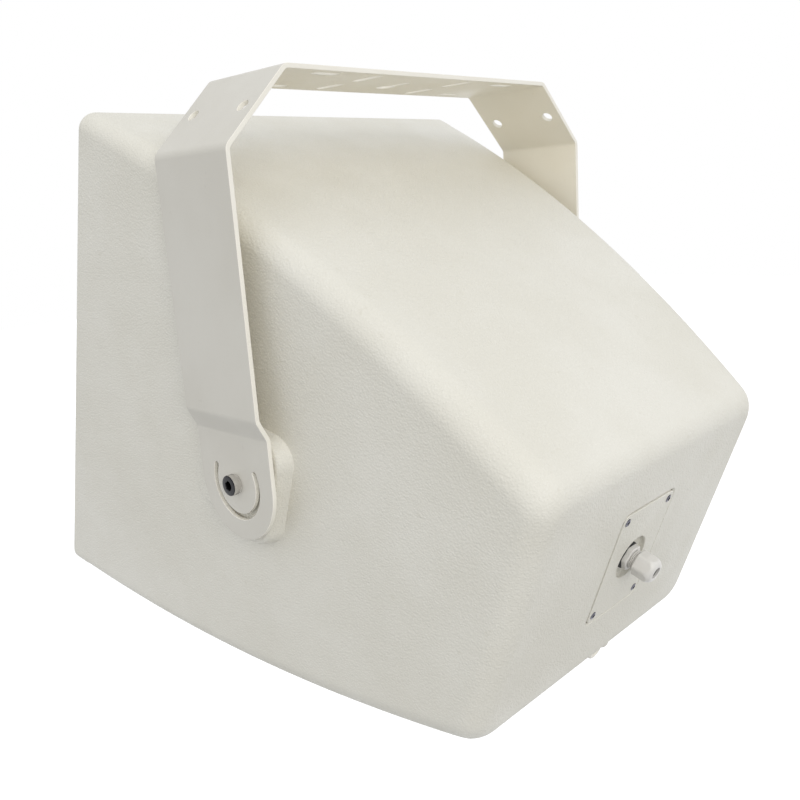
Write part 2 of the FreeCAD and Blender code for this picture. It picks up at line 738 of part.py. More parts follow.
def baffle_waveguide():
    """The moulded front baffle: a flange on the housing's ledge, a round flare and the driver's ring."""
    flange = front_slice(wall_thickness + front_fit, baffle_front, baffle_back)
    flange = flange.cut(cylinder("Y", mouth_radius, baffle_front - 1, baffle_back + 1))
    middle_y = (baffle_front + throat_y) / 2
    middle_radius = throat_radius + (mouth_radius - throat_radius) * 0.36
    wall = waveguide_wall
    inner = Part.Arc(
        V(mouth_radius, baffle_front, 0), V(middle_radius, middle_y, 0), V(throat_radius, throat_y, 0)).toShape()
    outer = Part.Arc(
        V(mouth_radius + wall, baffle_front, 0), V(middle_radius + wall, middle_y, 0),
        V(throat_radius + wall, throat_y, 0)).toShape()
    front = Part.makeLine(V(mouth_radius, baffle_front, 0), V(mouth_radius + wall, baffle_front, 0))
    back = Part.makeLine(V(throat_radius, throat_y, 0), V(throat_radius + wall, throat_y, 0))
    section = Part.Wire(Part.__sortEdges__([inner, outer, front, back]))
    flare = Part.Face(section).revolve(V(0, 0, 0), V(0, 1, 0), 360)
    ring = cylinder("Y", driver_ring_radius, throat_y, driver_ring_back)
    ring = ring.cut(cylinder("Y", throat_radius, throat_y - 1, driver_ring_back + 1))
    baffle = flange.fuse([flare, ring])
    posts = []
    for x, z in grille_post_places():
        posts.append(cylinder("Y", grille_post_diameter / 2, grille_recess + grille_sheet, baffle_front, x, z))
    baffle = baffle.fuse(posts)
    tip = grille_recess + grille_sheet + grille_screw_bite
    baffle = drilled(baffle, grille_post_places(), grille_screw_diameter / 2, 0, tip)
    hole = baffle_screw_diameter / 2 + screw_hole_clearance
    baffle = drilled(baffle, baffle_screw_places(), hole, baffle_front - 1, baffle_back + 1)
    places = on_circle(driver_screw_count, driver_screw_circle)
    return drilled(baffle, places, driver_screw_diameter / 2, throat_y - 1, driver_ring_back + 1)


def baffle_gasket():
    ring = front_slice(wall_thickness + front_fit, baffle_back, ledge_front).cut(inner_form(ledge_inset))
    radius = baffle_screw_diameter / 2 + screw_hole_clearance
    return drilled(ring, baffle_screw_places(), radius, baffle_back - 1, ledge_front + 1)


def baffle_screws():
    return pan_screws(
        baffle_screw_places(), baffle_screw_diameter, baffle_screw_head_diameter, baffle_screw_head_height,
        baffle_front, ledge_front + baffle_screw_bite, True)


def driver_gasket():
    ring = cylinder("Y", basket_radius, driver_ring_back, driver_seat)
    ring = ring.cut(cylinder("Y", throat_radius, driver_ring_back - 1, driver_seat + 1))
    radius = driver_screw_diameter / 2 + screw_hole_clearance
    places = on_circle(driver_screw_count, driver_screw_circle)
    return drilled(ring, places, radius, driver_ring_back - 1, driver_seat + 1)


def driver_basket():
    """The cast frame: a flange, a windowed cone and the back ring that the magnet hangs on."""
    seat = driver_seat
    flange_back = seat + basket_flange_thickness
    ring_front = top_plate_front - basket_back_thickness
    inner = basket_flange_inner_radius
    basket = turned([
        (basket_radius, seat), (basket_radius, flange_back), (inner + basket_wall, flange_back),
        (basket_back_radius, ring_front), (basket_back_radius, top_plate_front),
        (basket_back_inner_radius, top_plate_front), (basket_back_inner_radius, ring_front),
        (basket_back_radius - basket_wall, ring_front), (inner, flange_back), (inner, seat)])
    height = ring_front - flange_back
    window_start = flange_back + 0.2 * height
    window_end = flange_back + 0.85 * height
    half_angle = math.radians(basket_window_angle / 2)
    for step in range(basket_windows):
        middle = 2 * math.pi * step / basket_windows
        corners = [V(0, window_start, 0)]
        for angle in (middle - half_angle, middle + half_angle):
            corners.append(V(reach * math.sin(angle), window_start, reach * math.cos(angle)))
        window = Part.Face(Part.makePolygon(corners + corners[:1])).extrude(V(0, window_end - window_start, 0))
        basket = basket.cut(window)
    radius = driver_screw_diameter / 2 + screw_hole_clearance
    return drilled(basket, on_circle(driver_screw_count, driver_screw_circle), radius, seat - 1, flange_back + 1)


def driver_screws():
    return pan_screws(
        on_circle(driver_screw_count, driver_screw_circle), driver_screw_diameter, driver_screw_head_diameter,
        driver_screw_head_height, driver_seat + basket_flange_thickness, throat_y + 1, False)


def woofer_surround():
    """The rubber half roll between cone and basket."""
    outer = basket_flange_inner_radius - soft_gap
    inner = cone_radius + soft_gap
    depth = driver_seat + cone_setback
    middle = (outer + inner) / 2
    front = Part.Arc(V(inner, depth, 0), V(middle, depth - surround_roll_height, 0), V(outer, depth, 0)).toShape()
    back = Part.Arc(
        V(inner + surround_sheet, depth, 0), V(middle, depth - surround_roll_height + surround_sheet, 0),
        V(outer - surround_sheet, depth, 0)).toShape()
    ends = [
        Part.makeLine(V(inner, depth, 0), V(inner + surround_sheet, depth, 0)),
        Part.makeLine(V(outer, depth, 0), V(outer - surround_sheet, depth, 0)),
    ]
    section = Part.Wire(Part.__sortEdges__([front, back] + ends))
    return Part.Face(section).revolve(V(0, 0, 0), V(0, 1, 0), 360)


def woofer_cone():
    front = driver_seat + cone_setback
    neck = front + cone_depth
    return turned([
        (cone_radius, front), (cone_radius, front + cone_paper),
        (coil_radius + thread_clearance, neck), (coil_radius + thread_clearance, neck - cone_paper)])


def coil_former():
    start = driver_seat + cone_setback + cone_depth - 2 * cone_paper
    end = top_plate_front + (top_plate_thickness + coil_winding_length) / 2 + coil_former_tail
    tube = cylinder("Y", coil_radius, start, end)
    return tube.cut(cylinder("Y", coil_radius - coil_former_wall, start - 1, end + 1))


def voice_coil():
    start = top_plate_front + (top_plate_thickness - coil_winding_length) / 2
    inner = coil_radius + thread_clearance
    tube = cylinder("Y", inner + coil_winding_thickness, start, start + coil_winding_length)
    return tube.cut(cylinder("Y", inner, start - 1, start + coil_winding_length + 1))


def spider():
    """The corrugated disc that centres the coil, on the front of the basket's back ring."""
    back = top_plate_front - basket_back_thickness
    front = back - spider_thickness
    inner = coil_radius + soft_gap
    outer = basket_back_radius - basket_wall - soft_gap
    rolls = 4
    flat = outer - basket_back_inner_radius
    step = (outer - flat - inner) / (2 * rolls)
    near = [(inner + index * step, back - spider_corrugation * (index % 2)) for index in range(2 * rolls + 1)]
    far = [(radius, depth - spider_thickness) for radius, depth in reversed(near)]
    return turned(near + [(outer, back), (outer, front)] + far)


def top_plate():
    gap_radius = coil_radius + thread_clearance + coil_winding_thickness + magnet_gap
    return turned([
        (gap_radius, top_plate_front), (top_plate_radius, top_plate_front),
        (top_plate_radius, magnet_front), (gap_radius, magnet_front)])


def magnet():
    return turned([
        (magnet_inner_radius, magnet_front), (magnet_radius, magnet_front),
        (magnet_radius, back_plate_front), (magnet_inner_radius, back_plate_front)])


def pole_piece():
    return turned([
        (hf_throat_radius, top_plate_front), (pole_radius, top_plate_front), (pole_radius, back_plate_front),
        (top_plate_radius, back_plate_front), (top_plate_radius, back_plate_back),
        (hf_throat_radius, back_plate_back)])


def hf_horn():
    """The small treble horn on the pole's front face."""
    front = top_plate_front - hf_horn_length
    wall = hf_horn_wall
    return turned([
        (hf_throat_radius, top_plate_front), (hf_horn_mouth_radius, front),
        (hf_horn_mouth_radius + wall, front), (hf_throat_radius + 2 * wall, top_plate_front)])


def hf_driver():
    body = cylinder("Y", hf_driver_radius, back_plate_back, back_plate_back + hf_driver_length)
    rear = [edge for edge in body.Edges if edge.BoundBox.YMin > back_plate_back + hf_driver_length - 0.01]
    body = body.makeFillet(hf_driver_edge_radius, rear)
    return body.cut(cylinder("Y", hf_throat_radius, back_plate_back - 1, back_plate_back + hf_driver_chamber))


def input_plate():
    """The rear cover with a round cup that holds the cable gland below the surface."""
    plate = rounded_plate(
        plate_width, plate_height, plate_corner_radius, plate_back_y, plate_face_y, plate_centre_z)
    cup = cylinder("Y", cup_radius + cup_wall, gland_inner_y, plate_back_y + 1, 0, plate_centre_z)
    plate = plate.fuse(cup)
    plate = plate.cut(cylinder("Y", cup_radius, cup_floor_y, plate_face_y + 1, 0, plate_centre_z))
    radius = gland_thread_diameter / 2 + gland_fit
    plate = plate.cut(cylinder("Y", radius, gland_inner_y - 1, cup_floor_y + 1, 0, plate_centre_z))
    for x, z in plate_screw_places():
        plate = plate.cut(plate_screw_form(x, z, thread_clearance))
    return plate


def plate_screw_form(x, z, grow):
    """A countersunk screw flush with the plate, or the hole for one when grown."""
    shank = plate_screw_diameter / 2 + grow
    head = plate_screw_head_diameter / 2 + grow
    drop = head - shank
    cone = Part.makeCone(head, shank, drop, V(x, plate_face_y, z), V(0, -1, 0))
    return cone.fuse(cylinder("Y", shank, plate_face_y - plate_screw_length, plate_face_y - drop, x, z))


def plate_screws():
    screws = []
    for x, z in plate_screw_places():
        screw = plate_screw_form(x, z, 0.0)
        half = plate_screw_recess_width / 2
        depth = plate_face_y - plate_screw_recess_depth
        for wide, tall in ((half, half / 3), (half / 3, half)):
            screw = screw.cut(block((x - wide, depth, z - tall), (x + wide, plate_face_y + 1, z + tall)))
        screws.append(screw)
    return Part.makeCompound(screws)


def plate_gasket():
    sheet = rounded_plate(
        plate_width, plate_height, plate_corner_radius, pocket_floor_y, plate_back_y, plate_centre_z)
    hole = cup_radius + cup_wall + cup_fit
    sheet = sheet.cut(cylinder("Y", hole, pocket_floor_y - 1, plate_back_y + 1, 0, plate_centre_z))
    radius = plate_screw_diameter / 2 + thread_clearance
    return drilled(sheet, plate_screw_places(), radius, pocket_floor_y - 1, plate_back_y + 1)


def gland_tube(radius, start, end):
    return cylinder("Y", radius, start, end, 0, plate_centre_z)


def gland_seal_washer():
    ring = gland_tube(gland_seal_washer_diameter / 2, cup_floor_y, gland_flange_y)
    return ring.cut(gland_tube(gland_thread_diameter / 2 + gland_fit, cup_floor_y - 1, gland_flange_y + 1))


def gland_body():
    flange = hexagon(gland_hex_width, gland_flange_y, gland_thread_y, z=plate_centre_z)
    tail = gland_inner_y - gland_lock_nut_thickness - gland_tail
    thread_end = gland_thread_y + gland_thread_length
    body = flange.fuse(gland_tube(gland_thread_diameter / 2, tail, thread_end))
    return body.cut(gland_tube(gland_bore_diameter / 2, tail - 1, thread_end + 1))


def gland_dome_nut():
    """The nut that squeezes the seal: a hexagon that runs out into a dome with a cable mouth."""
    end = gland_nut_y + gland_nut_length
    hex_end = gland_nut_y + gland_nut_hex_length
    corner = gland_hex_width / math.sqrt(3)
    mouth = gland_mouth_diameter / 2
    nut = hexagon(gland_hex_width, gland_nut_y, end, z=plate_centre_z)
    shoulder = V(corner, hex_end, 0)
    crown = V(mouth + (corner - mouth) * 0.78, hex_end + (end - hex_end) * 0.62, 0)
    edges = [
        Part.makeLine(V(0, gland_nut_y, 0), V(corner, gland_nut_y, 0)),
        Part.makeLine(V(corner, gland_nut_y, 0), shoulder),
        Part.Arc(shoulder, crown, V(mouth + 1, end, 0)).toShape(),
        Part.makeLine(V(mouth + 1, end, 0), V(0, end, 0)),
        Part.makeLine(V(0, end, 0), V(0, gland_nut_y, 0)),
    ]
    dome = Part.Face(Part.Wire(edges)).revolve(V(0, 0, 0), V(0, 1, 0), 360)
    dome.translate(V(0, 0, plate_centre_z))
    cavity_end = end - (end - hex_end) / 2
    nut = nut.common(dome)
    nut = nut.cut(gland_tube(gland_thread_diameter / 2 + gland_fit, gland_nut_y - 1, cavity_end))
    return nut.cut(gland_tube(mouth, cavity_end - 1, end + 1))


def gland_seal():
    start = gland_thread_y + gland_thread_length
    end = gland_nut_y + gland_nut_length - (gland_nut_length - gland_nut_hex_length) / 2
    ring = gland_tube(gland_thread_diameter / 2, start, end)
    return ring.cut(gland_tube(gland_cable_diameter / 2, start - 1, end + 1))


def gland_lock_nut():
    nut = hexagon(gland_hex_width, gland_inner_y - gland_lock_nut_thickness, gland_inner_y, z=plate_centre_z)
    radius = gland_thread_diameter / 2 + gland_fit
    return nut.cut(gland_tube(radius, gland_inner_y - gland_lock_nut_thickness - 1, gland_inner_y + 1))


def crossover_board():
    low_x = board_centre_x - board_width / 2
    board = block((low_x, board_face_y, -board_height / 2), (low_x + board_width, board_back_y, board_height / 2))
    radius = board_screw_diameter / 2 + screw_hole_clearance
    return drilled(board, board_screw_places(), radius, board_face_y - 1, board_back_y + 1)


def board_screws():
    return pan_screws(
        board_screw_places(), board_screw_diameter, board_screw_head_diameter, board_screw_head_height,
        board_face_y, rear_inner_y, True)


def inductor(place):
    z = place * inductor_spacing / 2
    coil = cylinder("Y", inductor_radius, board_face_y - inductor_height, board_face_y, board_centre_x, z)
    hole = cylinder("Y", inductor_hole_radius, 0, board_face_y + 1, board_centre_x, z)
    return coil.cut(hole)


def capacitors():
    """Film capacitors lying side by side across the lower half of the board."""
    cans = []
    y = board_face_y - capacitor_radius
    low_z = -inductor_spacing / 2 - inductor_radius - capacitor_length - soft_gap
    for step in (-1, 0, 1):
        can = cylinder(
            "Z", capacitor_radius, low_z, low_z + capacitor_length, board_centre_x + step * capacitor_spacing, y)
        cans.append(can)
    return Part.makeCompound(cans)


def terminal_block():
    low_z = inductor_spacing / 2 + inductor_radius + soft_gap
    low_x = board_centre_x - terminal_width / 2
    front = board_face_y - terminal_depth
    body = block((low_x, front, low_z), (low_x + terminal_width, board_face_y, low_z + terminal_height))
    pitch = terminal_width / terminal_ways
    for way in range(terminal_ways):
        x = low_x + (way + 0.5) * pitch
        z = low_z + terminal_height / 2
        body = body.cut(cylinder("Y", terminal_screw_radius, front - 1, front + terminal_depth / 2, x, z))
    return body


def transformer_windows():
    """The two openings beside the core's middle leg, as (low x, high x)."""
    middle = core_leg
    outer = core_width / 2 - core_leg
    return [(core_centre_x + middle, core_centre_x + outer), (core_centre_x - outer, core_centre_x - middle)]


def transformer_core():
    core = block(
        (core_centre_x - core_width / 2, core_face_y, -core_height / 2),
        (core_centre_x + core_width / 2, core_back_y, core_height / 2))
    half = core_height / 2 - core_leg
    for low, high in transformer_windows():
        core = core.cut(block((low, core_face_y - 1, -half), (high, core_back_y + 1, half)))
    radius = core_screw_diameter / 2 + screw_hole_clearance
    return drilled(core, core_screw_places(), radius, core_face_y - 1, core_back_y + 1)


def transformer_winding():
    """The coil round the middle leg, filling both windows and standing out of the stack."""
    right, left = transformer_windows()
    half = core_height / 2 - core_leg - winding_gap
    front = core_face_y - winding_overhang
    back = core_back_y + winding_overhang
    coil = block((left[0] + winding_gap, front, -half), (right[1] - winding_gap, back, half))
    edges = [edge for edge in coil.Edges if edge.BoundBox.ZLength > 1.9 * half]
    coil = coil.makeFillet(winding_overhang / 2, edges)
    leg = block(
        (left[1] - winding_gap, core_face_y - winding_gap, -half - 1),
        (right[0] + winding_gap, core_back_y + winding_gap, half + 1))
    return coil.cut(leg)


def core_screws():
    return pan_screws(
        core_screw_places(), core_screw_diameter, core_screw_head_diameter, core_screw_head_height,
        core_face_y, rear_inner_y, True)


def anchor_hardware():
    """The safety point under the rear: a threaded insert, a washer and an eye screw, keyed by name."""
    def ring(outer, inner, start, end):
        disc = cylinder("Z", outer, start, end, anchor_x, anchor_depth)
        return disc.cut(cylinder("Z", inner, start - 1, end + 1, anchor_x, anchor_depth))

    seat = -anchor_pad_drop
    shank = anchor_screw_diameter / 2
    collar_top = seat - anchor_washer_thickness
    collar_end = collar_top - anchor_collar_thickness
    collar = cylinder("Z", anchor_collar_diameter / 2, collar_end, collar_top, anchor_x, anchor_depth)
    thread = cylinder("Z", shank, collar_end, collar_top + anchor_screw_length, anchor_x, anchor_depth)
    eye_z = collar_end - anchor_eye_radius - anchor_eye_wire / 4
    eye = Part.makeTorus(anchor_eye_radius, anchor_eye_wire / 2, V(anchor_x, anchor_depth, eye_z), V(0, 1, 0))
    return {
        "anchor_eye": eye.fuse([collar, thread]),
        "anchor_washer": ring(
            anchor_washer_diameter / 2, shank + screw_hole_clearance, seat - anchor_washer_thickness, seat),
        "anchor_insert": ring(
            anchor_insert_diameter / 2, shank + thread_clearance, seat, seat + anchor_insert_length),
    }


def cabinet_nodes():
    nodes = {
        "enclosure_shell": enclosure_shell(),
        "front_grille": front_grille(),
        "grille_foam": grille_foam(),
        "grille_screws": grille_screws(),
        "baffle_waveguide": baffle_waveguide(),
        "baffle_gasket": baffle_gasket(),
        "baffle_screws": baffle_screws(),
        "driver_gasket": driver_gasket(),
        "driver_basket": driver_basket(),
        "driver_screws": driver_screws(),
        "woofer_surround": woofer_surround(),
        "woofer_cone": woofer_cone(),
        "coil_former": coil_former(),
        "voice_coil": voice_coil(),
        "spider": spider(),
        "top_plate": top_plate(),
        "magnet": magnet(),
        "pole_piece": pole_piece(),
        "hf_horn": hf_horn(),
        "hf_driver": hf_driver(),
        "input_plate": input_plate(),
        "plate_gasket": plate_gasket(),
        "plate_screws": plate_screws(),
        "gland_seal_washer": gland_seal_washer(),
        "gland_body": gland_body(),
        "gland_seal": gland_seal(),
        "gland_dome_nut": gland_dome_nut(),
        "gland_lock_nut": gland_lock_nut(),
        "crossover_board": crossover_board(),
        "board_screws": board_screws(),
        "inductor_upper": inductor(1),
        "inductor_lower": inductor(-1),
        "capacitors": capacitors(),
        "terminal_block": terminal_block(),
        "transformer_core": transformer_core(),
        "transformer_winding": transformer_winding(),
        "core_screws": core_screws(),
    }
    nodes.update(anchor_hardware())
    for name, shape in pivot_hardware().items():
        nodes[name + "_right"] = shape
        nodes[name + "_left"] = mirrored(shape)
    return nodes


def hang(shape):
    """Move a cabinet shape onto the yoke's pivots and tilt its front up into the rest pose."""
    shape.translate(V(0, -pivot_depth, 0))
    shape.rotate(V(0, 0, 0), V(1, 0, 0), -rest_tilt)
    shape.translate(V(0, 0, -yoke_height))
    return shape


def main():
    os.makedirs("parts", exist_ok=True)
    bracket = yoke()
    bracket.translate(V(0, 0, -yoke_height))
    bracket.exportStep("parts/yoke.step")
    for name, shape in cabinet_nodes().items():
        hang(shape).exportStep(f"parts/{name}.step")


main()
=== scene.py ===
import bmesh
import bpy
import json
from math import asin, atan, atan2, copysign, cos, degrees, hypot, pi, radians, sin, sqrt, tan
from mathutils import Matrix, Vector


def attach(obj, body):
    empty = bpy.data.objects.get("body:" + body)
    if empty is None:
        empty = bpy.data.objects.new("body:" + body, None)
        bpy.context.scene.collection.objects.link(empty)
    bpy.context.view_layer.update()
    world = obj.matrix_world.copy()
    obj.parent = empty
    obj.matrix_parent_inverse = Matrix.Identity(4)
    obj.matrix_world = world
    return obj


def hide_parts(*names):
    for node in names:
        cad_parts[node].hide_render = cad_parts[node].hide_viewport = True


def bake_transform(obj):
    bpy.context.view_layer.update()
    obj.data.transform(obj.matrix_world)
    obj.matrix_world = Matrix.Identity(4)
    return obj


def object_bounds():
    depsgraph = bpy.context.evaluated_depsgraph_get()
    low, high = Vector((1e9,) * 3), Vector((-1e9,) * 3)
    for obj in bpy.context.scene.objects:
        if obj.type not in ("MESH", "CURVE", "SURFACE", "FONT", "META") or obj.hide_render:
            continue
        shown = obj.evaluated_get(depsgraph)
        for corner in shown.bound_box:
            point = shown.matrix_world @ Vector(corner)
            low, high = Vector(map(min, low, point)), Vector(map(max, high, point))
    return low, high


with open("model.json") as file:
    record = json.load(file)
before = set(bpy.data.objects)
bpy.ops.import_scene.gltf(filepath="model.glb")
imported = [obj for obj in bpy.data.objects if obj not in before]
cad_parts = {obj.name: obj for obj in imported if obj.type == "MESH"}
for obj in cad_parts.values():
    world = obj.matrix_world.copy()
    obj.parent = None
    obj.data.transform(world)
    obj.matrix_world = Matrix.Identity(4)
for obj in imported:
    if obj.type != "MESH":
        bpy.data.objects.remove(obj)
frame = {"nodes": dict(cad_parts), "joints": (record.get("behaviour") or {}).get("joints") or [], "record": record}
cad_low, cad_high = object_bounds()

# The looks of a public address loudspeaker: a pebbled off-white housing hung in a painted steel yoke.
# Sizes are millimetres. The cabinet's own frame has Y = 0 at its front edge, +Y to the rear and Z = 0 at
# its pivots. The yoke's own frame has its pivots on the X axis and its top plate up.
MM = 0.001

# Housing
FRONT_HALF_WIDTH = 215.0
REAR_HALF_WIDTH = 152.0
FRONT_HALF_HEIGHT = 219.0
REAR_HALF_HEIGHT = 106.5
HOUSING_DEPTH = 450.0
WALL_BULGE = 21.0
LONG_EDGE_FRONT_RADIUS = 14.0
LONG_EDGE_REAR_RADIUS = 24.0
REAR_EDGE_RADIUS = 20.0
FRONT_LIP_RADIUS = 4.0
WALL = 6.0
REAR_WALL = 8.0
INNER_EDGE_RADIUS = 9.0
INNER_EDGE_REAR_RADIUS = 18.0
INNER_REAR_RADIUS = 12.0
INNER_LEAST_RADIUS = 4.0
LIP_FADE_START = 19.0
LIP_FADE_END = 23.0
LIP_BAND_STAND = 0.35
PIVOT_DEPTH = 221.0
REST_TILT = 20.0
HOUSING_SHARP_ANGLE = 40.0
REAR_FACE_INSET = 3.0
REAR_FACE_CORNER_INSET = 2.0
HOLE_OVERCUT = 3.0
CUT_REACH = 20.0

# Fineness of the meshes
SHARP_ANGLE = 32.0
HOLE_STEPS = 40
ROUND_STEPS = 48
SCREW_STEPS = 64
CORNER_STEPS = 10
TOP_STEPS = 40
SIDE_STEPS = 60
LIP_STEPS = 5
FINE_RING_STEP = 1.5
FINE_RINGS_END = 26.0
RING_STEP = 6.0
REAR_EDGE_STEPS = 16
INNER_REAR_STEPS = 6
INNER_STEPS = 12
BOSS_RIM_STEPS = 6

# Pivot bosses and hardware
BOSS_FACE_X = 192.2
BOSS_HALF_HEIGHT = 45.0
BOSS_REAR_REACH = 35.0
BOSS_FRONT_REACH = 60.0
BOSS_CORNER_RADIUS = 18.0
BOSS_RUN = 34.0
BOSS_SPREAD = 8.0
BOSS_RIM_RADIUS = 3.0
BOSS_FACE_INSET = 4.0
EAR_OUTER_X = 198.4
LOCK_HOLE_DROP = 26.3
LOCK_HOLE_RADIUS = 3.2
LOCK_HOLE_DEPTH = 8.0
INSERT_HOLE_RADIUS = 7.0
INSERT_HOLE_DEPTH = 20.0
PIVOT_SHANK_RADIUS = 5.0
PIVOT_SHANK_LENGTH = 26.0
PIVOT_HEAD_RADIUS = 8.0
PIVOT_HEAD_HEIGHT = 6.2
PIVOT_SOCKET_WIDTH = 7.0
PIVOT_KNURL_RIDGES = 60
PIVOT_KNURL_DEPTH = 0.14
PIVOT_WASHER_RADIUS = 7.6
PIVOT_WASHER_THICKNESS = 1.0
PIVOT_WASHER_GAP = 0.1
WASHER_EDGE = 0.25

# Yoke
YOKE_HALF_WIDTH = 206.0
YOKE_STRIP_WIDTH = 88.6
YOKE_SHEET = 3.5
YOKE_BEND_RADIUS = 7.0
YOKE_HEIGHT = 294.0
YOKE_CHAMFER_RUN = 55.5
YOKE_CHAMFER_RISE = 54.0
JOGGLE_TOP = 54.8
JOGGLE_BOTTOM = 39.8
YOKE_EDGE_RADIUS = 0.5
FLAT_FACE_NORMAL = 0.8
PIVOT_HOLE_RADIUS = 5.3
ARC_SLOT_WIDTH = 4.7
ARC_SLOT_HALF_ANGLE = 115.0
SLOT_WIDTH = 9.0
CORNER_SLOT_X = 103.0
CORNER_SLOT_Y = 31.0
CORNER_SLOT_LENGTH = 25.0
INNER_SLOT_X = 52.5
INNER_SLOT_Y = 22.0
INNER_SLOT_LENGTH = 30.0
KEYHOLE_RADIUS = 8.0
KEYHOLE_Y = -11.0
KEYHOLE_SLOT_WIDTH = 7.0
KEYHOLE_SLOT_END = 17.0
RIGGING_HOLE_RADIUS = 4.9
RIGGING_HOLE_Y = 30.0
SHOULDER_RUNS = (6, 10)  # among the strip's straight runs and bends

# Rear plate and cable gland
PLATE_FACE_Y = 450.3
PLATE_HALF_WIDTH = 36.0
PLATE_HALF_HEIGHT = 50.0
PLATE_CENTRE_Z = 3.0
PLATE_CORNER_RADIUS = 5.0
PLATE_THICKNESS = 3.0
PLATE_EDGE_RADIUS = 0.7
PLATE_FIT = 1.2
POCKET_PROFILE = ((-4.0, 0.0), (-1.3, 0.0), (1.0, 2.3))  # stand, growth
PLATE_SCREW_X = 30.0
PLATE_SCREW_Z = 43.5
PLATE_SCREW_HEAD_RADIUS = 3.1
PLATE_SCREW_FIT = 0.1
CUP_RADIUS = 18.5
CUP_DEPTH = 5.0
CUP_WALL = 3.0
CUP_ROOM = 4.0
CUP_STEPS = 72
GLAND_THREAD_RADIUS = 7.0
GLAND_BORE_RADIUS = 4.8
GLAND_FIT = 0.1
GLAND_SHANK_LENGTH = 11.0
GLAND_BODY_LENGTH = 14.0
GLAND_WIDTH = 19.0
GLAND_CORNER_CUT = 0.5
GLAND_EASE = 1.2
GLAND_SEAL_THICKNESS = 2.5
GLAND_SEAL_RADIUS = 11.4
GLAND_FLANGE = 4.5
GLAND_NUT_GAP = 4.2
GLAND_DOME_START = 6.0
GLAND_DOME_STEPS = 44
GLAND_NUT_LENGTH = 16.0
GLAND_MOUTH_RADIUS = 4.8
GLAND_CABLE_RADIUS = 4.0
GLAND_SLEEVE_START = 6.8
GLAND_PITCH = 1.4
GLAND_TURNS = 3

# Safety anchor under the rear
ANCHOR_X = -37.0
ANCHOR_DEPTH = 436.7
ANCHOR_DROP = 113.0
ANCHOR_PAD_RADIUS = 8.5
ANCHOR_PAD_ROOT = 92.0
ANCHOR_PAD_EDGE = 0.6
ANCHOR_SPOT_RADIUS = 9.0
ANCHOR_SHANK_RADIUS = 4.0
ANCHOR_SHANK_LENGTH = 13.0
ANCHOR_BORE_RADIUS = 4.3
ANCHOR_WASHER_RADIUS = 8.0
ANCHOR_WASHER_THICKNESS = 1.0
ANCHOR_COLLAR_RADIUS = 6.5
ANCHOR_COLLAR_THICKNESS = 1.5
ANCHOR_EYE_RADIUS = 7.0
ANCHOR_WIRE_RADIUS = 2.2
EYE_STEPS = 56
EYE_WIRE_STEPS = 20

# Front grille
GRILLE_RECESS = 2.0
GRILLE_SHEET = 1.2
GRILLE_FLANGE = 12.0
GRILLE_EDGE_PROFILE = ((2.0, 0.0), (1.0, 0.27), (0.27, 1.0), (0.0, 2.0), (0.0, GRILLE_FLANGE))  # inset, sink
GRILLE_BORDER = 9.0
GRILLE_PITCH = 9.0
GRILLE_CELL_RADIUS = GRILLE_PITCH / sqrt(3)
GRILLE_HOLE_RADIUS = 3.0
GRILLE_HOLE_SIDES = 12
GRILLE_HOLE_EASE = 0.25
GRILLE_WELD = 0.01
GRILLE_SCREW_RADIUS = 4.5
GRILLE_SCREW_INSET = 15.0
FRONT_FIT = 0.6
BAFFLE_FRONT = 19.0

# Cloth disc behind the cone; its neck is glued to the coil's tube, its flange to the basket
SPIDER_NECK_RADIUS = 38.3
SPIDER_ROLLS_END_RADIUS = 67.0
SPIDER_FLANGE_RADIUS = 80.7
SPIDER_NECK_Y = 173.5
SPIDER_FLANGE_Y = 183.3
SPIDER_HALF_THICKNESS = 0.6
SPIDER_ROLLS = 4
SPIDER_ROLL_HEIGHT = 1.0
SPIDER_STEPS = 48

